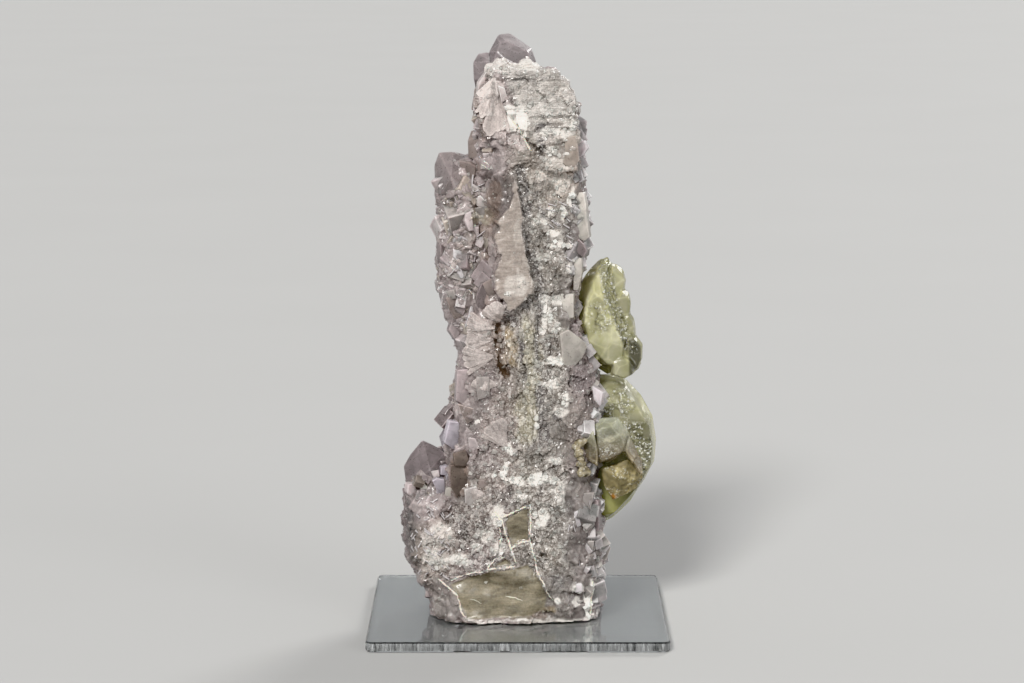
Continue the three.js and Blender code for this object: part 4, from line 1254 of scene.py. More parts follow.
# Flat cleaved faces: tint, how far they stand proud (or the front's y, if below -5), lean in
# degrees about x and z, and the outline as (x, z).
PANES = [
    (PINK_WHITE, -16.8, (2, 12),
     [(-13.6, 179.4), (-13.2, 184), (-10.6, 187.6), (-9.4, 184), (-9, 178.6), (-11, 178)]),
    (PINK_WHITE, 0.9, (6, 6), [(-6.6, 183.4), (-4.4, 182.6), (-3.4, 178.8), (-5.4, 177.6)]),
    (BEIGE, 0.35, (0, -7), [(15.6, 166), (19.4, 167), (20.3, 158.5), (18, 155.4), (15.2, 157)]),
    (PALE, -14, (0, -14), [(20.2, 165.4), (22.2, 164.2), (23.4, 162), (20.8, 158.6), (19.4, 161)]),
    (PALE, -14, (0, -20), [(19.6, 155.2), (21.2, 154.6), (22.1, 151.6), (20.6, 150.4), (19, 152)]),
    (LILAC, -14.6, (0, -12),
     [(20.2, 131.6), (22, 130), (23.2, 127.4), (22, 125.4), (20, 126.6), (19, 129.4)]),
    (GREY_VEIL, -13, (0, -16),
     [(19.6, 147), (22, 147), (22.8, 143), (23.2, 138), (24, 132), (22, 130.6), (19.6, 132)]),
    (GREY_VEIL, -14, (0, -10), [(18.8, 125), (21.4, 125), (21.6, 120), (20.2, 114), (18.6, 114)]),
    (PINK_WHITE, 0.9, (8, -10),
     [(-14.1, 145.1), (-12.6, 145.8), (-9.8, 142.8), (-10.5, 141.2), (-13.9, 142), (-14.6, 143.8)]),
    (PINK_WHITE, 0.8, (10, 0),
     [(-16.5, 148.6), (-15.2, 149.5), (-12.2, 147.7), (-14, 147.2), (-16.1, 147.5)]),
    (LIGHT_LILAC, 0.7, (0, 18), [(-17.6, 140), (-15.6, 141), (-14.6, 134.2), (-16.4, 134), (-18, 137.4)]),
    (CLEAR_GREY, -0.3, (3, -4), [(-14.6, 141.4), (-9.6, 142.4), (-9, 136.2), (-12, 134.8), (-14.4, 136.4)]),
    (PALE, 0.8, (-8, 8), [(-21.8, 127.4), (-19.2, 127.8), (-18.8, 125.8), (-20.4, 123.4), (-21.8, 125)]),
    (PALE, 0.8, (0, 12), [(-20.8, 122.4), (-19.2, 121.4), (-17.9, 118), (-19.2, 117.6), (-20.4, 119.6)]),
    (LILAC, 0.3, (0, 26), [(-26.4, 129), (-24.2, 129), (-23.6, 122), (-26, 121.6)]),
    (LILAC, 1.0, (0, 8),
     [(-14.2, 112), (-12, 117), (-10.4, 114.6), (-9.4, 110.8), (-12, 107.6), (-13.8, 109.4)]),
    (BROWN_LILAC, 0.9, (6, -12), [(-12, 116.6), (-8.7, 118.4), (-7.3, 113), (-9, 111), (-10.6, 113)]),
    (BROWN_LILAC, 0.8, (4, 12), [(-24.4, 111), (-19.4, 111.4), (-18.4, 104.6), (-21.4, 103.4), (-23.2, 107)]),
    (DULL_LILAC, 0.6, (-6, 18), [(-20, 106), (-18.8, 99.6), (-21, 95.6), (-23.6, 99.4), (-22.4, 103)]),
    (PALE, 1.0, (0, 14), [(-18, 101), (-16.6, 105), (-15.6, 110.6), (-14.4, 109), (-15.4, 103), (-16.6, 98)]),
    (BROWN_LILAC, 0.8, (6, -6), [(-20, 157.4), (-16, 156.6), (-14, 155.4), (-14.8, 151), (-17.4, 150)]),
    (DULL_LILAC, 0.5, (3, 14), [(-20.6, 87), (-15, 87.4), (-14, 79), (-18, 74.6), (-21, 76.6), (-20.8, 81)]),
    (BLUE_LILAC, 1.6, (5, 18), [(-23.4, 69.4), (-20.2, 69), (-17.9, 63.6), (-20.9, 58.8), (-25, 62)]),
    (LILAC, 1.4, (0, 30), [(-25.2, 70.6), (-24, 72.2), (-21.6, 74), (-22, 70.6), (-23.4, 68)]),
    (LIGHT_LILAC, 0.7, (0, -14), [(-17, 64.2), (-14.4, 64), (-13.2, 60.6), (-15.4, 59.4), (-16.6, 60.6)]),
    (DARK_GLASS, 1.6, (-6, 6), [(-22, 59.2), (-17.6, 60.4), (-16.6, 56.8), (-18, 54.8), (-21.4, 55)]),
    (BROWN_LILAC, 0.7, (0, -8), [(-20.6, 75.6), (-14.8, 74), (-14.6, 70.4), (-17.4, 68.6), (-19, 72)]),
    (CLEAR_GREY, 0.5, (0, 4), [(-14, 85.4), (-9.6, 85.4), (-9.4, 78.6), (-13.6, 77.4)]),
    (GREY_VEIL, 1.1, (2, 9), [(14, 99.6), (17, 101), (22.6, 96.8), (23.4, 95), (22, 91.4), (18.4, 87.6),
                                (15.4, 89), (14.6, 94)]),
    (GREY_VEIL, 0.4, (0, -5), [(14.4, 113), (18.8, 113), (18.8, 104.8), (15.4, 104.6)]),
    (PALE, -17, (0, -22), [(24.8, 81.8), (28.8, 79.8), (27.8, 74.8), (25.4, 77.2)]),
    (BLUE_LILAC, 1.0, (0, 14),
     [(-26.2, 53), (-23.3, 53.4), (-22.8, 46.4), (-24.4, 47), (-24.6, 50), (-26.4, 50.2)]),
    (BLUE_LILAC, 1.2, (6, 8),
     [(-29.2, 48.6), (-27.7, 49.4), (-25, 49), (-24.6, 43.6), (-27.4, 41), (-27.7, 45.4)]),
    (DARK_GLASS, 0.9, (0, 4), [(-22.8, 55), (-17.6, 55), (-17, 50), (-17.6, 45), (-20.8, 44), (-22.6, 47)]),
    (LIGHT_LILAC, -11, (4, 24), [(-37.6, 46.8), (-34.8, 47.4), (-34.5, 41.8), (-36.4, 42.1), (-37.8, 43.8)]),
    (GREY_VEIL, -12.4, (8, 10), [(-34, 47.2), (-32.5, 48), (-30.7, 46), (-30.1, 42.2), (-32.5, 44.2)]),
    (LIGHT_LILAC, -12, (-4, -8), [(-29.8, 51.4), (-27, 52), (-26.6, 49.6), (-28.6, 48.8)]),
    (GREY_VEIL, 0.5, (10, 0), [(-24.6, 46), (-22, 47), (-21, 43), (-23, 40), (-25.4, 41.6)]),
    (BROWN_LILAC, 0.5, (0, 5), [(-13.4, 50), (-10.2, 50), (-10, 46.4), (-13.2, 46)]),
    (FROSTED, 0.4, (4, 8), [(-18, 46.8), (-14, 48), (-12.6, 43), (-15.4, 40.4), (-17.8, 42)]),
    (DULL_LILAC, -14, (0, -20), [(24.8, 43.4), (27.4, 41.4), (27.8, 31.4), (25, 30.6)]),
    (CLEAR_GREY, 0.8, (8, -10), [(22.4, 28), (26, 28), (25.6, 24.6), (23, 25)]),
    (CLEAR_GREY, 0.7, (-4, -8), [(21.6, 45), (25.8, 45.2), (24.4, 38), (20.6, 40)]),
    (PALE, 0.8, (6, 0), [(19, 38.6), (20.4, 39.4), (21.4, 34), (20, 33.4)]),
    (PALE, 0.7, (0, 0), [(19.6, 14), (21.8, 14), (22, 11), (19.4, 10.8)]),
    (FROSTED, 0.6, (0, 0), [(19, 8), (22.4, 7.4), (20.8, 6.2)]),
]
PANE_DEPTH = 3.2
ON_ITS_OWN = -5  # a pane's second number below this is its front's y
PANE_CUT = 0.22  # width of a pane's cut edges
ROUGH_CUT = 0.3  # the same for a rough crystal
CORNER = Vector((1, 1, 1)).normalized()  # towards a cube's corner
# Crystals smaller than this stay plain cubes; from the next size on most carry a smaller twin.
PLAIN_BELOW, TWINS_ABOVE, TWIN_CHANCE = 1.7, 3.2, 0.6
CRUST_RAY = 25  # how far outside a mass the rays to its skin start
CRUST_REACH = 9  # how far from a mass's skin a crystal may land
# Tints of the crust's crystals and how common each is.
CRUST_TINTS = {DULL_LILAC: 5, LIGHT_LILAC: 5, BROWN_LILAC: 1, PALE: 1, BEIGE: 3, CLEAR_GREY: 2}


def crust_tint(draw, place):
    """A tint for a crystal: dim at the far left, lighter on the upper lobe, greyer at the right and lighter
    there with painted light.
    """
    colour = draw.choices(list(CRUST_TINTS), list(CRUST_TINTS.values()))[0]
    tint = np.array(colour) * draw.uniform(0.88, 1.12)
    x, _, z = place
    # lighter at the right: painted light on the side that the key light leaves in shade
    tint = tint * np.interp(x, (-34, -30, 18, 22), (0.7, 1, 1, 1.08))
    if x < -8 and z > 98:
        tint = tint * 1.12
    grey = 0.5 * smooth((x - 14) / 6)
    return tint * (1 - grey) + tint.mean() * grey


def stand_crystal(heap, draw, place, outward, edge, bury, tint):
    """One cube with a corner turned outwards, and now and then a stepped twin on it."""
    lean = Vector([draw.uniform(-0.35, 0.35) for _ in range(3)])
    aim = (Vector(outward) + lean).normalized()
    turn = CORNER.rotation_difference(aim) @ Quaternion(CORNER, draw.uniform(0, 2 * math.pi))
    middle = np.asarray(place) - np.array(aim) * bury * edge
    stretch = np.array([edge * draw.uniform(0.8, 1.2) for _ in range(3)])
    if edge < PLAIN_BELOW:
        heap.add(*turned(CUBE, stretch, turn, middle), tint)
        return
    heap.crystal(turned(CUT_CUBE, stretch, turn, middle), tint, draw, aim)
    if edge > TWINS_ABOVE and draw.random() < TWIN_CHANCE:
        shift = turn @ Vector([draw.uniform(0.12, 0.3) * edge for _ in range(3)])
        smaller = stretch * draw.uniform(0.5, 0.8)
        heap.crystal(turned(CUT_CUBE, smaller, turn, middle + np.array(shift)), tint, draw, aim)


def add_panes(heap, draw, surface):
    """Adds the flat cleaved faces."""
    for tint, proud, lean, outline in PANES:
        x, z = np.mean(outline, 0)
        if proud < ON_ITS_OWN:
            front = proud
        else:
            place, _ = face_hit(surface, x, z)
            if place is None:
                raise RuntimeError(f"no rock behind the face at {x:.1f}, {z:.1f}")
            front = place[1] - proud
        slab = {"outline": outline, "front": front, "depth": PANE_DEPTH, "lean": lean}
        form = chamfered(slab_form(slab), PANE_CUT)
        # painted light: each pane lighter towards the upper left, where the key light comes from, and darker
        # at its lower right
        heap.crystal(form, tint, draw, (-0.25, -0.3, 0.9), 0.3)


def bare(place):
    """Whether a place is in the middle of the broken face or on the faces right of it, kept free."""
    x, y, z = place
    on_face = y < -10 and x > -17.5
    on_pane = x < 26 and y < -8 and 79 < z < 114
    return on_face and (z < 112 or x > -9.5) and x < 15 or on_pane and x > 14


def build_crust():
    """The crust: large and rough crystals, flat faces, and many small cubes around the column."""
    draw, surface, heap = set_out("crust")
    for x, y, z, edge, *tilt, tint in LARGE_CRYSTALS:
        turn = Euler([math.radians(angle) for angle in tilt]).to_quaternion()
        heap.crystal(turned(CUT_CUBE, edge, turn, (x, y, z)), tint, draw)
        shift = turn @ Vector((0.16 * edge, -0.14 * edge, 0.15 * edge))
        heap.crystal(turned(CUT_CUBE, edge * 0.78, turn, np.array((x, y, z)) + np.array(shift)), tint, draw)
    for corners, tint in ROUGH_CRYSTALS:
        points, faces, edges = chamfered(hull_form(corners, 6), ROUGH_CUT)
        # painted highlights on the cut edges, painted light that differs from face to face, and painted shade
        # towards the foot
        lights = [1.12 if edge else draw.uniform(0.84, 1.12) for edge in edges]
        share = smooth((points[:, 2] - points[:, 2].min()) / np.ptp(points[:, 2]))
        heap.add(points, faces, np.array(tint) * (0.85 + 0.25 * share)[:, None], lights)
    add_panes(heap, draw, surface)
    for mass, heights, turns, count, (small, large), bury in CRUSTS:
        for _ in range(count):
            height = draw.uniform(*heights)
            turn = math.radians(draw.uniform(*turns))
            edge = small + (large - small) * draw.random() ** 1.7
            target = skin(mass, np.array([height]), np.array([turn]))[0]
            way = np.array([math.cos(turn), math.sin(turn), 0.0])
            place, normal = hit(surface, target + way * CRUST_RAY, -way)
            if place is None or np.linalg.norm(place - target) > CRUST_REACH or bare(place):
                continue
            outward = way * 0.5 + normal * 0.7
            stand_crystal(heap, draw, place, outward, edge, bury, crust_tint(draw, place))
    dress_column(heap.build("fluorite_crystals", crystal_finish()))


# ---- Fine things on the broken face -------------------------------------------------------------

FRONT = 60.0  # how far in front of the face rays start
FACE_FIELD = (-40, 31), (1, 189)  # the face's ranges of x and z


def face_hit(surface, x, z):
    """Where a level ray from the front meets the face."""
    return hit(surface, (x, -FRONT, z), (0, 1, 0))


def build_sugar(count):
    """Small bright grains scattered over the broken face, thickest where it is frosted."""
    draw, surface, heap = set_out("sugar")
    spots = []
    while len(spots) < count * 3:
        x, z = (draw.uniform(*span) for span in FACE_FIELD)
        place, normal = face_hit(surface, x, z)
        if place is not None:
            spots.append((place, normal))
    places = np.array([place for place, _ in spots])
    mark = marks(places)
    chance = 0.1 + 0.8 * mark["frost"] + 0.25 * mark["mottled"] + 0.14 * mark["block"]
    chance *= (1 - 0.97 * mark["window"]) * (1 - 0.8 * mark["plate"]) * (1 - mark["bright"])
    chance *= 1 - 0.6 * np.clip(mark["glassy"], 0, 1)
    colours = paint(places, mark, np.zeros(len(places)))
    for (place, normal), share, colour, frost in zip(spots, chance, colours, mark["frost"]):
        if draw.random() > share:
            continue
        edge = 0.4 + 1.1 * draw.random() ** 2
        light = draw.uniform(0.1, 0.75) * (0.5 + 0.5 * frost)
        tint = np.array(colour) * (1 - light) + np.array(WHITE) * light
        stand_crystal(heap, draw, place, normal, edge, 0.3, tint)
    dress_column(heap.build("sugar_grains", crystal_finish()))


def around(values):
    """A grid's values shifted to each place around, one row and three columns either way."""
    padded = np.pad(values, ((1, 1), (3, 3)), "edge")
    rows, columns = values.shape
    return [padded[i:i + rows, k:k + columns] for i in range(3) for k in range(7)]


def laid_over(depths):
    """Depths of a sheet that lies on the nearest points around each of its own, smoothly."""
    return np.mean(around(np.min(around(depths), 0)), 0)


def sheet_faces(rows, columns):
    """Faces of a closed sheet: a grid of points in front, then the same grid behind."""
    count = rows * columns
    faces = []
    for row in range(rows - 1):
        for k in range(columns - 1):
            a, b = row * columns + k, (row + 1) * columns + k
            faces += [(a, a + 1, b + 1, b), (a + count, b + count, b + count + 1, a + count + 1)]
    rim = list(range(columns)) + [row * columns + columns - 1 for row in range(1, rows)]
    rim += [(rows - 1) * columns + k for k in range(columns - 2, -1, -1)]
    rim += [row * columns for row in range(rows - 2, 0, -1)]
    return faces + [(b, a, a + count, b + count) for a, b in zip(rim, rim[1:] + rim[:1])]


def build_fans():
    """Lays pleated shells on the face, each with an uneven rim lit by painted light and painted shade in its
    grooves.
    """
    draw, surface, heap = set_out("fans")
    for hinge_x, hinge_z, radius, first, last, pleats, lift, tone in FANS:
        columns = pleats * PLEAT_STEPS + 1
        place_in_pleats = np.arange(columns) / PLEAT_STEPS
        crest = 1 - np.abs(2 * (place_in_pleats % 1) - 1)
        lengths, levels, shades = (
            np.interp(place_in_pleats, range(pleats + 1), [draw.uniform(*span) for _ in range(pleats + 1)])
            for span in (PLEAT_LENGTHS, PLEAT_LEVELS, PLEAT_SHADES)
        )
        hatch = np.array([draw.uniform(-1, 1) for _ in range(columns)])
        sunk = smooth(6 * np.minimum(place_in_pleats, pleats - place_in_pleats) / pleats)
        turns = np.radians(np.linspace(first, last, columns))
        reach = radius * (lengths - 0.02 * (1 - crest) + 0.003 * hatch)
        rows = [(hinge_x + np.cos(turns) * reach * share, hinge_z + np.sin(turns) * reach * share)
                for share in SHELL_ROWS]
        depths = []
        for x, z in rows:
            hits = [face_hit(surface, a, b)[0] for a, b in zip(x, z)]
            found = [k for k, place in enumerate(hits) if place is not None]
            if not found:
                raise RuntimeError(f"no rock behind the shell at {hinge_x}, {hinge_z}")
            depths.append(np.interp(range(columns), found, [hits[k][1] for k in found]))
        front, tints = [], []
        for share, (x, z), depth in zip(SHELL_ROWS, rows, laid_over(np.array(depths))):
            rise = lift * math.sin(0.78 * math.pi * share)
            rise = (0.15 + 0.85 * sunk) * (rise + share * (0.06 * crest + levels + 0.02 * hatch))
            front.append(np.stack([x, depth - rise, z], -1))
            # painted light along the rim, and painted shade in the grooves between pleats
            rim_light = 1 + 0.3 * smooth((share - 0.9) * 10)
            light = tone * shades * (0.96 + 0.06 * crest + 0.09 * hatch) * rim_light
            tints.append(light[:, None] * np.array(FAN_GREY))
        front = np.concatenate(front)
        points = np.concatenate([front, front + (0, SHELL_DEPTH, 0)])
        heap.add(points, sheet_faces(len(SHELL_ROWS), columns), np.concatenate(tints * 2))
    dress_column(heap.build("fluorite_fans", feather_finish()))


SECTION = 5  # points across a raised vein


def ribbon(heap, centres, widths, heights, tint):
    """A low ridge along a line of places, its ends drawn to points."""
    points, faces = [], []
    count = len(centres)
    for i, centre in enumerate(centres):
        ahead = centres[min(i + 1, count - 1)] - centres[max(i - 1, 0)]
        ahead = ahead / (np.linalg.norm(ahead) + 1e-9)
        across = np.cross(ahead, (0, 1, 0))
        across = across / (np.linalg.norm(across) + 1e-9)
        w, h = widths[i], heights[i]
        points += [
            centre + across * w + (0, 0.7, 0), centre + across * w * 0.6 + (0, -h * 0.7, 0),
            centre + (0, -h, 0), centre - across * w * 0.6 + (0, -h * 0.7, 0),
            centre - across * w + (0, 0.7, 0),
        ]
    for start in range(0, (count - 1) * SECTION, SECTION):
        for k in range(SECTION):
            a, b = start + k, start + (k + 1) % SECTION
            faces.append((a, b, b + SECTION, a + SECTION))
    ends = range(SECTION)
    faces += [tuple(ends)[::-1], tuple((count - 1) * SECTION + k for k in ends)]
    heap.add(np.array(points), faces, tint)


def build_veins(width):
    """Raised white veins and bright broken edges."""
    draw, surface, heap = set_out("veins")
    for half_width, path in VEINS:
        centres, widths, heights = [], [], []
        lengths = np.cumsum([0] + [math.dist(a, b) for a, b in zip(path, path[1:])])
        steps = max(5, int(lengths[-1] / 0.55))
        for share in np.linspace(0, lengths[-1], steps):
            x = np.interp(share, lengths, [p[0] for p in path]) + draw.uniform(-0.16, 0.16)
            z = np.interp(share, lengths, [p[1] for p in path]) + draw.uniform(-0.16, 0.16)
            place, _ = face_hit(surface, x, z)
            if place is None:
                continue
            taper = min(1, 0.35 + 2 * min(share, lengths[-1] - share) / 3)
            centres.append(place)
            widths.append(half_width * width * draw.uniform(0.7, 1.3) * taper)
            heights.append(half_width * draw.uniform(0.6, 1.3) * taper)
        depth = np.array([c[1] for c in centres])
        soft = np.convolve(np.pad(depth, 2, "edge"), np.ones(5) / 5, "valid")
        for centre, level in zip(centres, soft):
            centre[1] = min(level, centre[1] + 0.4)
        ribbon(heap, centres, widths, heights, WHITE)
    dress_column(heap.build("white_veins", vein_finish()))


# Thin bright blades standing on edge: how many, x range, z range, length and turn ranges.
BLADES = [
    (14, (-26, -9), (104, 156), (2, 5), (20, 160)),
    (12, (11, 20), (118, 148), (1.6, 4), (130, 165)),
    (34, (-36, -23), (15, 42), (1, 2.6), (120, 150)),
    (20, (-36, -23), (15, 42), (1, 2.4), (30, 62)),
    (8, (16, 26), (20, 46), (1.6, 4), (50, 130)),
]


def build_blades():
    """Thin bright blades on the face, in patches that lean alike."""
    draw, surface, heap = set_out("blades")
    for count, xs, zs, lengths, turns in BLADES:
        for _ in range(count):
            place, normal = face_hit(surface, draw.uniform(*xs), draw.uniform(*zs))
            if place is None:
                continue
            turn = math.radians(draw.uniform(*turns))
            along = Vector((math.cos(turn), draw.uniform(-0.3, 0.3), math.sin(turn))).normalized()
            stand = Vector(normal).lerp(Vector((0, -1, 0)), 0.5).normalized()
            stand = (stand - along * stand.dot(along)).normalized()
            matrix = Matrix((along, stand, along.cross(stand))).transposed()
            size = (draw.uniform(*lengths), draw.uniform(1, 1.8), draw.uniform(0.2, 0.36))
            form = turned(CUBE, size, matrix.to_quaternion(), place)
            heap.add(*form, PALE)
    dress_column(heap.build("fluorite_blades", crystal_finish()))


# ---- Calcite ------------------------------------------------------------------------------------

# Corners of the upper crystal: its rim, then the faces in front and behind.
UPPER_CALCITE = [
    (30.9, 2.8, 123.6), (27.9, 5.2, 122), (22.4, 2.8, 116), (20, 5.2, 112), (19.6, 2.8, 102.4),
    (21, 5.2, 96), (22.8, 2.8, 90), (25.8, 5.2, 85.4), (31, 2.8, 82.6), (36.6, 5.2, 83), (39, 2.8, 91),
    (37.2, 5.2, 102), (34.4, 2.8, 113), (32.6, 5.2, 120), (27, -4.4, 118), (23.4, -4.6, 110.5),
    (23, -5.6, 101), (25.4, -8.4, 93.4), (30.4, -9.8, 88.4), (35.4, -8.6, 88), (35.4, -9.2, 96),
    (31.4, -10, 104.6), (29.2, -8.2, 113), (29, 14.6, 112), (26.4, 14.6, 99), (30.6, 15.4, 89),
    (35.6, 14, 92),
]
# Thin plates along its right edge and lumps at its foot: front, back and the outline as (x, z).
UPPER_PLATES = [
    (-2.6, 7.5,
     [(31.8, 121.4), (34.2, 120.8), (36.2, 118.8), (36.9, 116), (36.6, 112.8), (34.6, 109), (31, 112)]),
    (-4.4, 8,
     [(35.4, 113.4), (38, 111.2), (38.8, 108.4), (38.6, 105.2), (36.8, 101.4), (32.6, 103.4), (32.6, 109)]),
    (-5, 8, [(37.6, 105.2), (39.5, 102.6), (40.4, 99.4), (40.4, 96), (37.6, 94.4), (34, 97), (34.6, 102)]),
    (-7, 5, [
        (37.8, 97.2), (40.4, 96.8), (42.7, 94), (42.7, 89.2), (41.2, 85.4), (38.4, 83.6), (36.2, 88),
        (36.6, 93),
    ]),
    (-9.8, 4, [(31.8, 88.8), (34.4, 90.6), (38, 90.2), (40.4, 87.6), (39.6, 84.4), (36, 82.4), (31.8, 84)]),
    (-7.4, 6, [(23.4, 97), (28, 97.6), (30, 92), (27, 87.6), (23.6, 89.4)]),
]
KNOB_RIM = UPPER_PLATES[3][2][:6]  # the outer edge of the lump that stands out at its right
# The lower crystal: its rim as (x, z), which zigzags across a middle plane, and its flat front and
# back, which are smaller than the rim by a share.
GIRDLE = 1.2
LOWER_CALCITE = {
    "middle": 6,
    "rim": [
        (27.4, 82.4), (32.6, 82), (37.2, 80.6), (42.4, 74.8), (46.8, 67.6), (48, 59), (47.2, 51.6),
        (44.2, 44.8), (39, 37.6), (33, 31.2), (28.4, 29.8), (22.6, 38), (20.2, 58), (22.6, 76),
    ],
    "front": -3.8,
    "back": 16.2,
    "inset": 0.84,
}
# Widths of the small faces of each crystal's skin.
CALCITE_VOXEL, SMALL_VOXEL, OCHRE_VOXEL, BEAD_VOXEL = 0.42, 0.3, 0.36, 0.25


def plate_form(front, back, outline, inset=0.78):
    """A plate with its rim at half depth and smaller flat faces in front and behind."""
    outline = np.array(outline, float)
    inner = outline.mean(0) + (outline - outline.mean(0)) * inset
    rows = ((front, inner), ((front * 2 + back) / 3, outline), (back, inner))
    return hull_form([(x, y, z) for y, ring in rows for x, z in ring])


def build_etched(name, forms, material, voxel, relief, cad_node):
    """One piece of calcite: forms joined, rounded a little, raised and tinted as relief says."""
    heap = Heap()
    for form in forms:
        heap.add(*form, WHITE)
    made = remeshed(heap.build(name, material), voxel * MM)
    soften = made.modifiers.new("soften", "SMOOTH")
    soften.factor, soften.iterations = 0.5, 1
    apply_modifiers(made)
    places, normals = vertex_places(made)
    points = specimen(places)
    height, etch, tint = relief(points, normals)
    move_vertices(made, world(points + normals * height[:, None]))
    set_tint(made, tint)
    set_share(made, "etch", etch)
    made.data.shade_smooth()
    dress(made, cad_node)


def upper_relief(points, normals):
    """Height, etching and tint over the upper crystal."""
    x, y, z = points.T
    facing = smooth((-normals[:, 1] + 0.1) / 0.5)
    ridge = np.interp(z, [88, 97, 104, 111, 119], [37.6, 34.6, 31.4, 28.8, 27.6])
    band = smooth((x - ridge + 0.6) / 1.2) * smooth((ridge + 5.4 - x) / 1.6) * smooth((z - 90) / 4)
    patch = smooth(1.35 - np.hypot((x - 27.4) / 5, (z - 103.6) / 5))
    etch = np.clip(band + patch, 0, 1) * facing * smooth(0.75 + 1.6 * cloud(points, 1.8, 81))
    facets, tone, edge = chips(points, 5.5, 0.1, 87)
    height = 0.14 * cloud(points, 4, 83) + 0.4 * etch * cloud(points, 0.75, 85) + 0.5 * facets
    cut = smooth(1.2 - np.abs(z - (86.6 + 0.12 * (x - 27))) / 0.5) * smooth((31.6 - x) / 1.5)
    height -= 0.9 * cut * facing
    # painted highlights along the facet edges
    tint = np.ones((len(x), 3)) * (1 + 0.12 * tone + 0.3 * edge + 0.18 * cloud(points, 5, 88))[:, None]
    # painted light: highlights on the ridge and the top-left bevel, and light on the left and on faces turned
    # left, where the column's shadow falls; painted shade in the cut
    ridge_light = smooth(1.3 - np.abs(x - ridge) / 0.6) * smooth((z - 88) / 3)
    bevel = smooth((-normals[:, 0] + normals[:, 2] * 0.6 - 0.45) / 0.2) * smooth((z - 108) / 4)
    left = smooth((27 - x) / 5) * smooth((z - 93) / 8)
    side = smooth((-normals[:, 0] - 0.2) / 0.4) * (1 - facing)
    low = facing * smooth((97 - z) / 3)
    right = smooth((x - ridge - 3) / 2) * facing
    light = 1 + 0.3 * ridge_light + 0.3 * bevel + 0.7 * left + 1.2 * side - 0.25 * band
    tint *= (light - 0.25 * low - 0.4 * cut - 0.2 * right)[:, None]
    knob = smooth((x - 37.4) / 0.8) * smooth((97 - z) / 1.5)
    knob *= smooth((path_distance(x, z, KNOB_RIM) - 0.5) / 0.6)
    tint = tint + (np.array((0.2, 0.2, 0.21)) - tint) * (0.95 * knob)[:, None]
    stain = smooth((22.6 - x) / 2) * smooth((104 - z) / 6)
    return height, etch, 0.93 * tint * (1 - stain[:, None] * np.array((0.1, 0.25, 0.6)))


def lower_relief(points, normals):
    """Height, etching and tint over the lower crystal."""
    x, y, z = points.T
    facing = smooth((-normals[:, 1] - 0.1) / 0.5)
    foot = smooth((52 - z - 0.5 * (x - 30)) / 3)
    ridges = np.clip(2.4 * cloud(leaning(points, -12, 3.2), 1.5, 91), -1, 1)
    fine = np.clip(2 * cloud(leaning(points, -12, 2), 0.9, 92), -1, 1)
    lumps, tone, edge = chips(leaning(points, -35, 1.8), 3.6, 0.3, 97)
    etch = facing * (1 - foot) * smooth(0.75 + 1.3 * cloud(points, 2.6, 93))
    height = 0.15 * cloud(points, 6, 95) + etch * (0.25 * ridges + 0.12 * fine + 0.6 * lumps)
    # painted highlight along the rim, where light glows through its edge
    rim = smooth(1.5 - path_distance(x, z, LOWER_CALCITE["rim"]) / 1.1)
    crest = smooth(1.3 - path_distance(x, z, [(38.6, 61), (42, 54), (44, 49)]) / 2.2) * facing
    right = smooth((x - 34) / 5) * smooth((72 - z) / 6)
    # painted shade following the relief: lighter on the etched ridges, darker in the grooves; painted
    # highlights on the facet edges
    light = 1 + (0.25 * ridges + 0.15 * fine + 0.15 * tone + 0.2 * edge) * etch + 0.2 * cloud(points, 7, 98)
    light = light * (0.91 - 0.1 * facing - 0.12 * foot - 0.44 * right * facing) + 0.5 * rim + 0.35 * crest
    tint = np.ones((len(x), 3)) * light[:, None]
    return height, np.clip(etch + crest, 0, 1), tint * (1 - foot[:, None] * np.array((-0.04, -0.06, 0.34)))


def build_upper_calcite(material):
    """The upper crystal with its plates and lumps."""
    forms = [hull_form(UPPER_CALCITE)] + [plate_form(*plate) for plate in UPPER_PLATES]
    build_etched(
        "upper_calcite_crystal", forms, material, CALCITE_VOXEL, upper_relief, "upper_calcite",
    )


def build_lower_calcite(material):
    """The lower crystal, a thick lens with a sharp rim."""
    zigzag = itertools.cycle((-GIRDLE, GIRDLE))
    rim = [(x, LOWER_CALCITE["middle"] + next(zigzag), z) for x, z in LOWER_CALCITE["rim"]]
    middle = np.mean(rim, 0)
    inset = [tuple(middle + (np.array(p) - middle) * LOWER_CALCITE["inset"]) for p in rim]
    sides = [[(x, LOWER_CALCITE[side], z) for x, _, z in inset] for side in ("front", "back")]
    forms = [hull_form(rim + sides[0] + sides[1])]
    build_etched(
        "lower_calcite_crystal", forms, material, CALCITE_VOXEL, lower_relief, "lower_calcite",
    )


LOW_SMOKY = np.array((0.4, 0.345, 0.305))
HIGH_SMOKY = np.array((0.57, 0.59, 0.56))
SMALL_CALCITE = {
    "rim": [
        (25.2, 68), (28.2, 69.9), (33.4, 70.2), (35.4, 68), (38.4, 64.2), (37.4, 58.4), (33, 55.6),
        (27.4, 53.8), (25.6, 57),
    ],
    "middle": (31, 62.4),
    # Rings of corners: y at the middle, its slope with x, share of the rim, rise and step back.
    "rings": [(-11, 0.12, 1.0, 0, 0), (-15, 0.18, 0.72, -0.6, 0), (-11, 0.12, 0.8, 0, 9)],
}
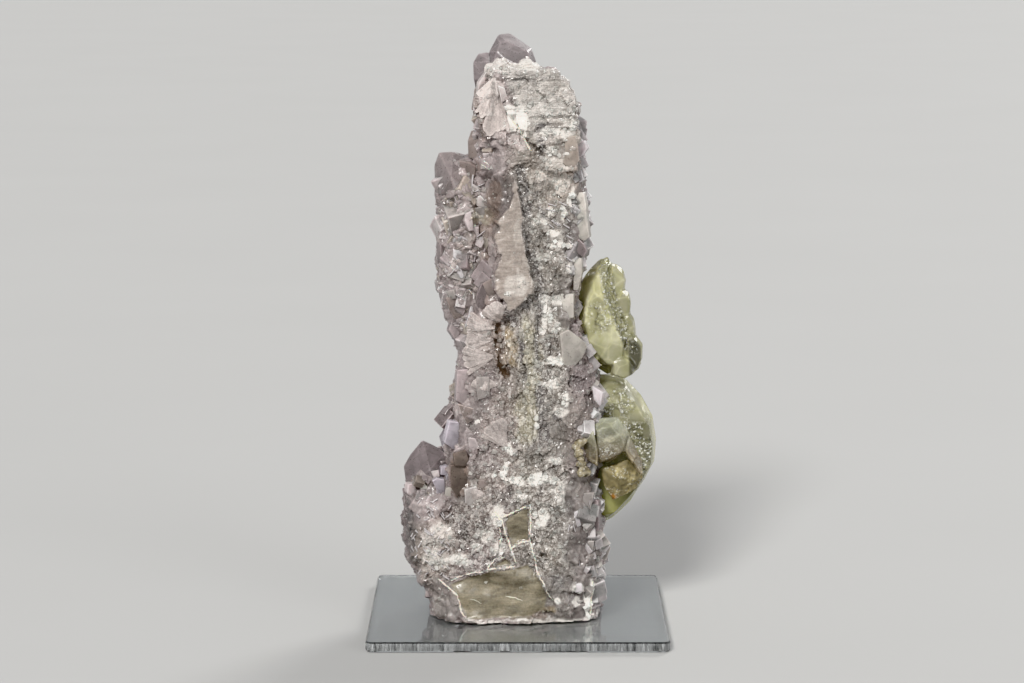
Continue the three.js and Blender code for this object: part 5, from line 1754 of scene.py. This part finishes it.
# A line of painted highlight scribbled across the small crystal's middle.
SCRIBBLED_HIGHLIGHT = [(29.4, 62.6), (30.2, 63.8), (31.6, 64), (32.6, 63), (31.4, 62.4), (30.4, 62.8)]
PALE_WEDGE = {
    "outline": [(36.8, 58.6), (38.3, 64), (42.8, 54.6), (42.4, 50), (39.6, 54)],
    "front": -11.6, "depth": 1.8, "lean": (-8, 26),
}
SIDE_FLAP = {
    "outline": [(25.4, 66.6), (20.2, 60), (22, 57.4), (26.8, 54.4), (26.8, 60.6)],
    "front": -17.6, "depth": 1.6, "lean": (6, -24),
}
OCHRE_CALCITE = [
    (28.2, -11.4, 52.2), (37.6, -9.2, 55.2), (43.2, -5.4, 48.4), (40.8, -6.6, 44.2), (32.4, -9.4, 40.7),
    (29.2, -11, 46.8), (35.8, -13.2, 49.6), (31.2, 0, 50), (39.2, 0, 49), (33.2, -1, 43),
]
OCHRE_KNOB, OCHRE_KNOB_RADIUS = (39.4, -8.2, 49), 2.1


def small_crystal_form():
    """A six-sided crystal with a flat leaning front, even bevels and a narrower back."""
    middle_x, middle_z = SMALL_CALCITE["middle"]
    points = []
    for start, lean, inset, rise, back in SMALL_CALCITE["rings"]:
        for x, z in SMALL_CALCITE["rim"]:
            x, z = middle_x + (x - middle_x) * inset, middle_z + (z - middle_z) * inset + rise
            points.append((x, start + lean * (x - middle_x) + back, z))
    return hull_form(points, 8)


def small_relief(points, normals):
    """Height, etching and tint over the small clear crystals."""
    x, y, z = points.T
    facing = smooth((-normals[:, 1] - 0.2) / 0.5)
    tone = LOW_SMOKY + (HIGH_SMOKY - LOW_SMOKY) * smooth((z - 56) / 14)[:, None]
    veil = cloud(leaning(points, 24, 3), 1.8, 131)
    facets, facet_tone, edge = chips(points, 4.4, 0.12, 133)
    rims = [slab["outline"] + slab["outline"][:1] for slab in (SIDE_FLAP, PALE_WEDGE)]
    # painted highlights along the rims of the flap and wedge and along the scribbled line
    bright = np.max([smooth(1.4 - path_distance(x, z, path) / 0.45) for path in rims + [SCRIBBLED_HIGHLIGHT]], 0)
    specks = smooth(1.3 - np.hypot((x - 30.4) / 3.6, (z - 58.4) / 2.4)) * facing
    # painted light on faces turned up, and painted highlights along the facet edges
    light = 1 + 0.22 * veil + 0.14 * facet_tone + 0.4 * edge + 0.35 * smooth((normals[:, 2] - 0.2) / 0.4)
    light = light + 0.5 * bright - 0.15 * smooth((x - 34) / 3) * smooth((62 - z) / 4)
    return 0.1 * veil + 0.6 * facets, 0.15 + 0.6 * specks, tone * light[:, None]


def build_small_calcite(material):
    """The small clear crystal with the two slabs beside it."""
    forms = [small_crystal_form(), slab_form(SIDE_FLAP), slab_form(PALE_WEDGE)]
    build_etched(
        "small_calcite_crystals", forms, material, SMALL_VOXEL, small_relief,
        "small_calcite",
    )


def ochre_relief(points, normals):
    """Height, etching and tint over the dusted crystal."""
    x, y, z = points.T
    crust = smooth(0.4 + 1.6 * cloud(points, 2.4, 111))
    grit = cloud(points, 0.8, 113)
    height = (0.12 + 0.2 * crust) * grit
    spot = smooth(1.3 - np.hypot(x - 32.6, z - 42.4) / 1.1)
    knob = smooth(1.3 - np.hypot(x - 39.6, z - 49) / 2)
    dust = np.maximum(knob, smooth(1.3 - np.hypot(x - 33.4, z - 51.6) / 1.6))
    # painted shade following the grit: lighter on its bumps, darker in its hollows
    light = 0.9 + 0.35 * grit + 0.25 * crust + 0.8 * dust * smooth(0.6 + grit)
    tint = np.ones((len(x), 3)) * light[:, None]
    return height, 0.3 * crust, tint * (1 - spot[:, None] * np.array((-0.3, 0.3, 0.7)))


def build_ochre_calcite(material):
    """The dusted crystal with its round knob."""
    ball, faces = sphere_form(10, 7)
    forms = [hull_form(OCHRE_CALCITE), (ball * OCHRE_KNOB_RADIUS + OCHRE_KNOB, faces)]
    build_etched(
        "ochre_calcite_crystal", forms, material, OCHRE_VOXEL, ochre_relief, "ochre_calcite",
    )


def sphere_form(sides, rings):
    """Points and faces of a unit ball."""
    points = [(0, 0, 1)]
    for row in range(1, rings):
        tilt = math.pi * row / rings
        for k in range(sides):
            turn = 2 * math.pi * k / sides
            points.append((math.sin(tilt) * math.cos(turn), math.sin(tilt) * math.sin(turn), math.cos(tilt)))
    points.append((0, 0, -1))
    return hull_form(points)


# Honey-coloured beads in a short chain: (x, y, z, radius).
HONEY_BEADS = [
    (20.9, -19.2, 63, 2), (19.4, -19.6, 61.2, 1.5), (20.2, -20, 59.2, 1.8), (21.4, -19.6, 57.5, 1.4),
    (21.4, -19.8, 55.6, 1.7), (22.4, -20, 52.9, 2.5),
]


def bead_relief(points, normals):
    """Height, etching and tint over the beads."""
    bumpy = cloud(points, 1.1, 121)
    # painted shade following the relief: lighter on the bumps, darker in the hollows
    tint = np.ones((len(points), 3)) * (0.76 + 0.5 * bumpy + 0.2 * cloud(points, 2, 123))[:, None]
    return 0.35 * bumpy, np.full(len(points), 0.3), tint


def build_honey_beads(material):
    """The chain of beads, each a flattened ball with four smaller ones grown into it."""
    ball, faces = sphere_form(14, 9)
    draw = random.Random(SEEDS["beads"])
    forms = []
    for x, y, z, radius in HONEY_BEADS:
        forms.append((ball * radius * (0.9, 0.9, 0.7) + (x, y, z), faces))
        for _ in range(4):
            turn, lift = draw.uniform(0, 2 * math.pi), draw.uniform(-0.4, 0.4)
            off = np.array((0.65 * math.cos(turn), 0.4 * math.sin(turn) - 0.15, lift)) * radius
            forms.append((ball * radius * draw.uniform(0.35, 0.56) + (x, y, z) + off, faces))
    build_etched(
        "honey_bead_chain", forms, material, BEAD_VOXEL, bead_relief, "honey_beads",
    )


# ---- Stage --------------------------------------------------------------------------------------

AIM = (-0.002, 0.0, 0.0973)  # where the camera looks
CAMERA_RANGE = 1.0
CAMERA_RISE = math.radians(9)
LENS, SENSOR = 102.1, 36  # millimetres
CLIP_END = 50
SKY_COLOUR, SKY_STRENGTH = (0.98, 0.985, 1.0, 1), 0.48
# Suns: name, direction of the light, softness in degrees, strength and colour.
SUNS = [
    ("key", (0.27, 0.82, -0.62), 14, 3.2, (1.0, 0.985, 0.955)),
    ("fill", (-0.66, 0.7, -0.2), 30, 0.9, (1.0, 0.99, 0.97)),
    ("rim", (-0.5, -0.72, -0.5), 20, 1.7, (1.0, 0.99, 0.97)),
]
FLOOR_HALF = 14.0
FLOOR_DROP = 0.3 * MM


def build_floor(colour):
    """A wide pale floor just under the plate."""
    signs = ((-1, -1), (1, -1), (1, 1), (-1, 1))
    corners = [(x * FLOOR_HALF, y * FLOOR_HALF, -FLOOR_DROP) for x, y in signs]
    made = mesh_object("floor", corners, [(0, 1, 2, 3)])
    material, body = finish("pale_floor", Roughness=0.7)
    body.inputs["Specular IOR Level"].default_value = 0.2
    mottling = noise(material, 180, 3, 0.5)
    darker = rgba([channel * 0.96 for channel in colour])
    link(material, mixed(material, mottling, rgba(colour), darker), body.inputs["Base Color"])
    made.data.materials.append(material)


def build_lights():
    """Soft suns and an even sky."""
    for name, direction, softness, strength, colour in SUNS:
        data = bpy.data.lights.new(name, "SUN")
        data.angle, data.energy, data.color = math.radians(softness), strength, colour
        lamp = new_object(name, data)
        lamp.rotation_euler = Vector(direction).to_track_quat("-Z", "Y").to_euler()
    sky = bpy.data.worlds.new("studio")
    sky.use_nodes = True
    background = sky.node_tree.nodes["Background"]
    background.inputs["Color"].default_value = SKY_COLOUR
    background.inputs["Strength"].default_value = SKY_STRENGTH
    bpy.context.scene.world = sky
    bpy.context.scene.view_settings.view_transform = "Khronos PBR Neutral"


def build_camera():
    """A long lens in front, a little above the middle."""
    data = bpy.data.cameras.new("camera")
    data.lens = LENS
    data.sensor_width = SENSOR
    data.clip_end = CLIP_END
    camera = new_object("camera", data)
    back = Vector((0, -math.cos(CAMERA_RISE), math.sin(CAMERA_RISE)))
    camera.location = Vector(AIM) + back * CAMERA_RANGE
    camera.rotation_euler = (-back).to_track_quat("-Z", "Y").to_euler()
    bpy.context.scene.camera = camera


# ---- Add-on -------------------------------------------------------------------------------------

def colour_property(name, description, default):
    """A colour in the panel."""
    settings = dict(min=0, max=1, subtype="COLOR")
    return FloatVectorProperty(name=name, description=description, default=default, **settings)


class SpecimenSizes(bpy.types.PropertyGroup):
    """Sizes that the panel offers"""

    rock_grain: FloatProperty(
        name="Rock grain", description="Width of the rock skin's small faces",
        default=0.5 * MM, min=0.4 * MM, max=3 * MM, unit="LENGTH", precision=5,
    )
    vein_width: FloatProperty(
        name="Vein width", description="Width of the white veins, as a share of their usual width",
        default=1.0, min=0.2, max=3, subtype="FACTOR",
    )
    sugar_count: IntProperty(
        name="Sugar grains", description="How many small grains are tried on the broken face",
        default=4200, min=0, max=12000,
    )


class SpecimenColours(bpy.types.PropertyGroup):
    """Colours that the panel offers"""

    calcite: colour_property("Calcite", "Colour of the two large calcite crystals", (0.55, 0.53, 0.375))
    smoky: colour_property("Smoky calcite", "Colour of the small clear crystals", (0.8, 0.79, 0.64))
    ochre: colour_property("Ochre calcite", "Colour of the dusted crystal", (0.26, 0.22, 0.115))
    honey: colour_property("Honey calcite", "Colour of the chain of beads", (0.4, 0.345, 0.235))
    acrylic: colour_property("Acrylic", "Tint of the clear plate", (0.92, 0.96, 0.97))
    floor: colour_property("Floor", "Colour of the floor", (0.46, 0.46, 0.455))


class SPECIMEN_OT_rock(bpy.types.Operator):
    """Builds the rock with its painted and broken skin"""
    bl_idname = "specimen.rock"
    bl_label = "Build Rock"

    def execute(self, context):
        build_rock(context.scene.specimen_sizes.rock_grain)
        return {"FINISHED"}


class SPECIMEN_OT_crust(bpy.types.Operator):
    """Stands fluorite crystals on the rock"""
    bl_idname = "specimen.crust"
    bl_label = "Build Crystal Crust"

    def execute(self, context):
        build_crust()
        return {"FINISHED"}


class SPECIMEN_OT_face(bpy.types.Operator):
    """Adds the sugar grains, veins and blades of the broken face"""
    bl_idname = "specimen.face"
    bl_label = "Build Face Details"

    def execute(self, context):
        sizes = context.scene.specimen_sizes
        build_sugar(sizes.sugar_count)
        build_veins(sizes.vein_width)
        build_fans()
        build_blades()
        return {"FINISHED"}


class SPECIMEN_OT_calcite(bpy.types.Operator):
    """Builds the two large calcite crystals"""
    bl_idname = "specimen.calcite"
    bl_label = "Build Calcite"

    def execute(self, context):
        colour = context.scene.specimen_colours.calcite
        deep = [channel * share for channel, share in zip(colour, (0.78, 0.8, 0.62))]
        made = calcite_finish("calcite", colour, deep, 0.3, 0.14)
        build_upper_calcite(made)
        build_lower_calcite(made)
        return {"FINISHED"}


class SPECIMEN_OT_small_crystals(bpy.types.Operator):
    """Builds the small smoky and ochre crystals and the honey beads"""
    bl_idname = "specimen.small_crystals"
    bl_label = "Build Small Crystals"

    def execute(self, context):
        colours = context.scene.specimen_colours
        deep = [channel * 0.8 for channel in colours.smoky]
        build_small_calcite(calcite_finish("smoky_calcite", colours.smoky, deep, 0.5, 0.06))
        deep = [channel * 0.7 for channel in colours.ochre]
        build_ochre_calcite(calcite_finish("ochre_calcite", colours.ochre, deep, 0.1, 0.65))
        deep = [channel * 0.8 for channel in colours.honey]
        build_honey_beads(calcite_finish("honey_calcite", colours.honey, deep, 0.2, 0.25))
        return {"FINISHED"}


class SPECIMEN_OT_plate(bpy.types.Operator):
    """Gives the display plate its clear finish"""
    bl_idname = "specimen.plate"
    bl_label = "Finish Plate"

    def execute(self, context):
        plate = frame["nodes"]["display_plate"]
        clear = acrylic_finish(context.scene.specimen_colours.acrylic)
        for slot in plate.material_slots:
            slot.material = clear
        return {"FINISHED"}


class SPECIMEN_OT_stage(bpy.types.Operator):
    """Sets the floor, the lights and the camera"""
    bl_idname = "specimen.stage"
    bl_label = "Set Stage"

    def execute(self, context):
        build_floor(context.scene.specimen_colours.floor)
        build_lights()
        build_camera()
        return {"FINISHED"}


OPERATORS = (
    SPECIMEN_OT_rock, SPECIMEN_OT_crust, SPECIMEN_OT_face, SPECIMEN_OT_calcite,
    SPECIMEN_OT_small_crystals, SPECIMEN_OT_plate, SPECIMEN_OT_stage,
)


class SPECIMEN_PT_panel(bpy.types.Panel):
    """Lists the specimen's sizes, colours and build steps"""
    bl_idname = "SPECIMEN_PT_panel"
    bl_label = "Mineral Specimen"
    bl_space_type = "VIEW_3D"
    bl_region_type = "UI"
    bl_category = "Specimen"

    def draw(self, context):
        for group in (context.scene.specimen_sizes, context.scene.specimen_colours):
            for name in group.__annotations__:
                self.layout.prop(group, name)
        for operator in OPERATORS:
            self.layout.operator(operator.bl_idname)


CLASSES = (SpecimenSizes, SpecimenColours, *OPERATORS, SPECIMEN_PT_panel)


def register():
    """Makes the panel, its settings and its build steps known."""
    for cls in CLASSES:
        bpy.utils.register_class(cls)
    bpy.types.Scene.specimen_sizes = PointerProperty(type=SpecimenSizes)
    bpy.types.Scene.specimen_colours = PointerProperty(type=SpecimenColours)


def unregister():
    """Takes away what register added."""
    del bpy.types.Scene.specimen_colours
    del bpy.types.Scene.specimen_sizes
    for cls in reversed(CLASSES):
        bpy.utils.unregister_class(cls)


def main():
    """Builds the specimen step by step."""
    register()
    for operator in OPERATORS:
        group, name = operator.bl_idname.split(".")
        getattr(getattr(bpy.ops, group), name)()


if __name__ == "__main__":
    main()
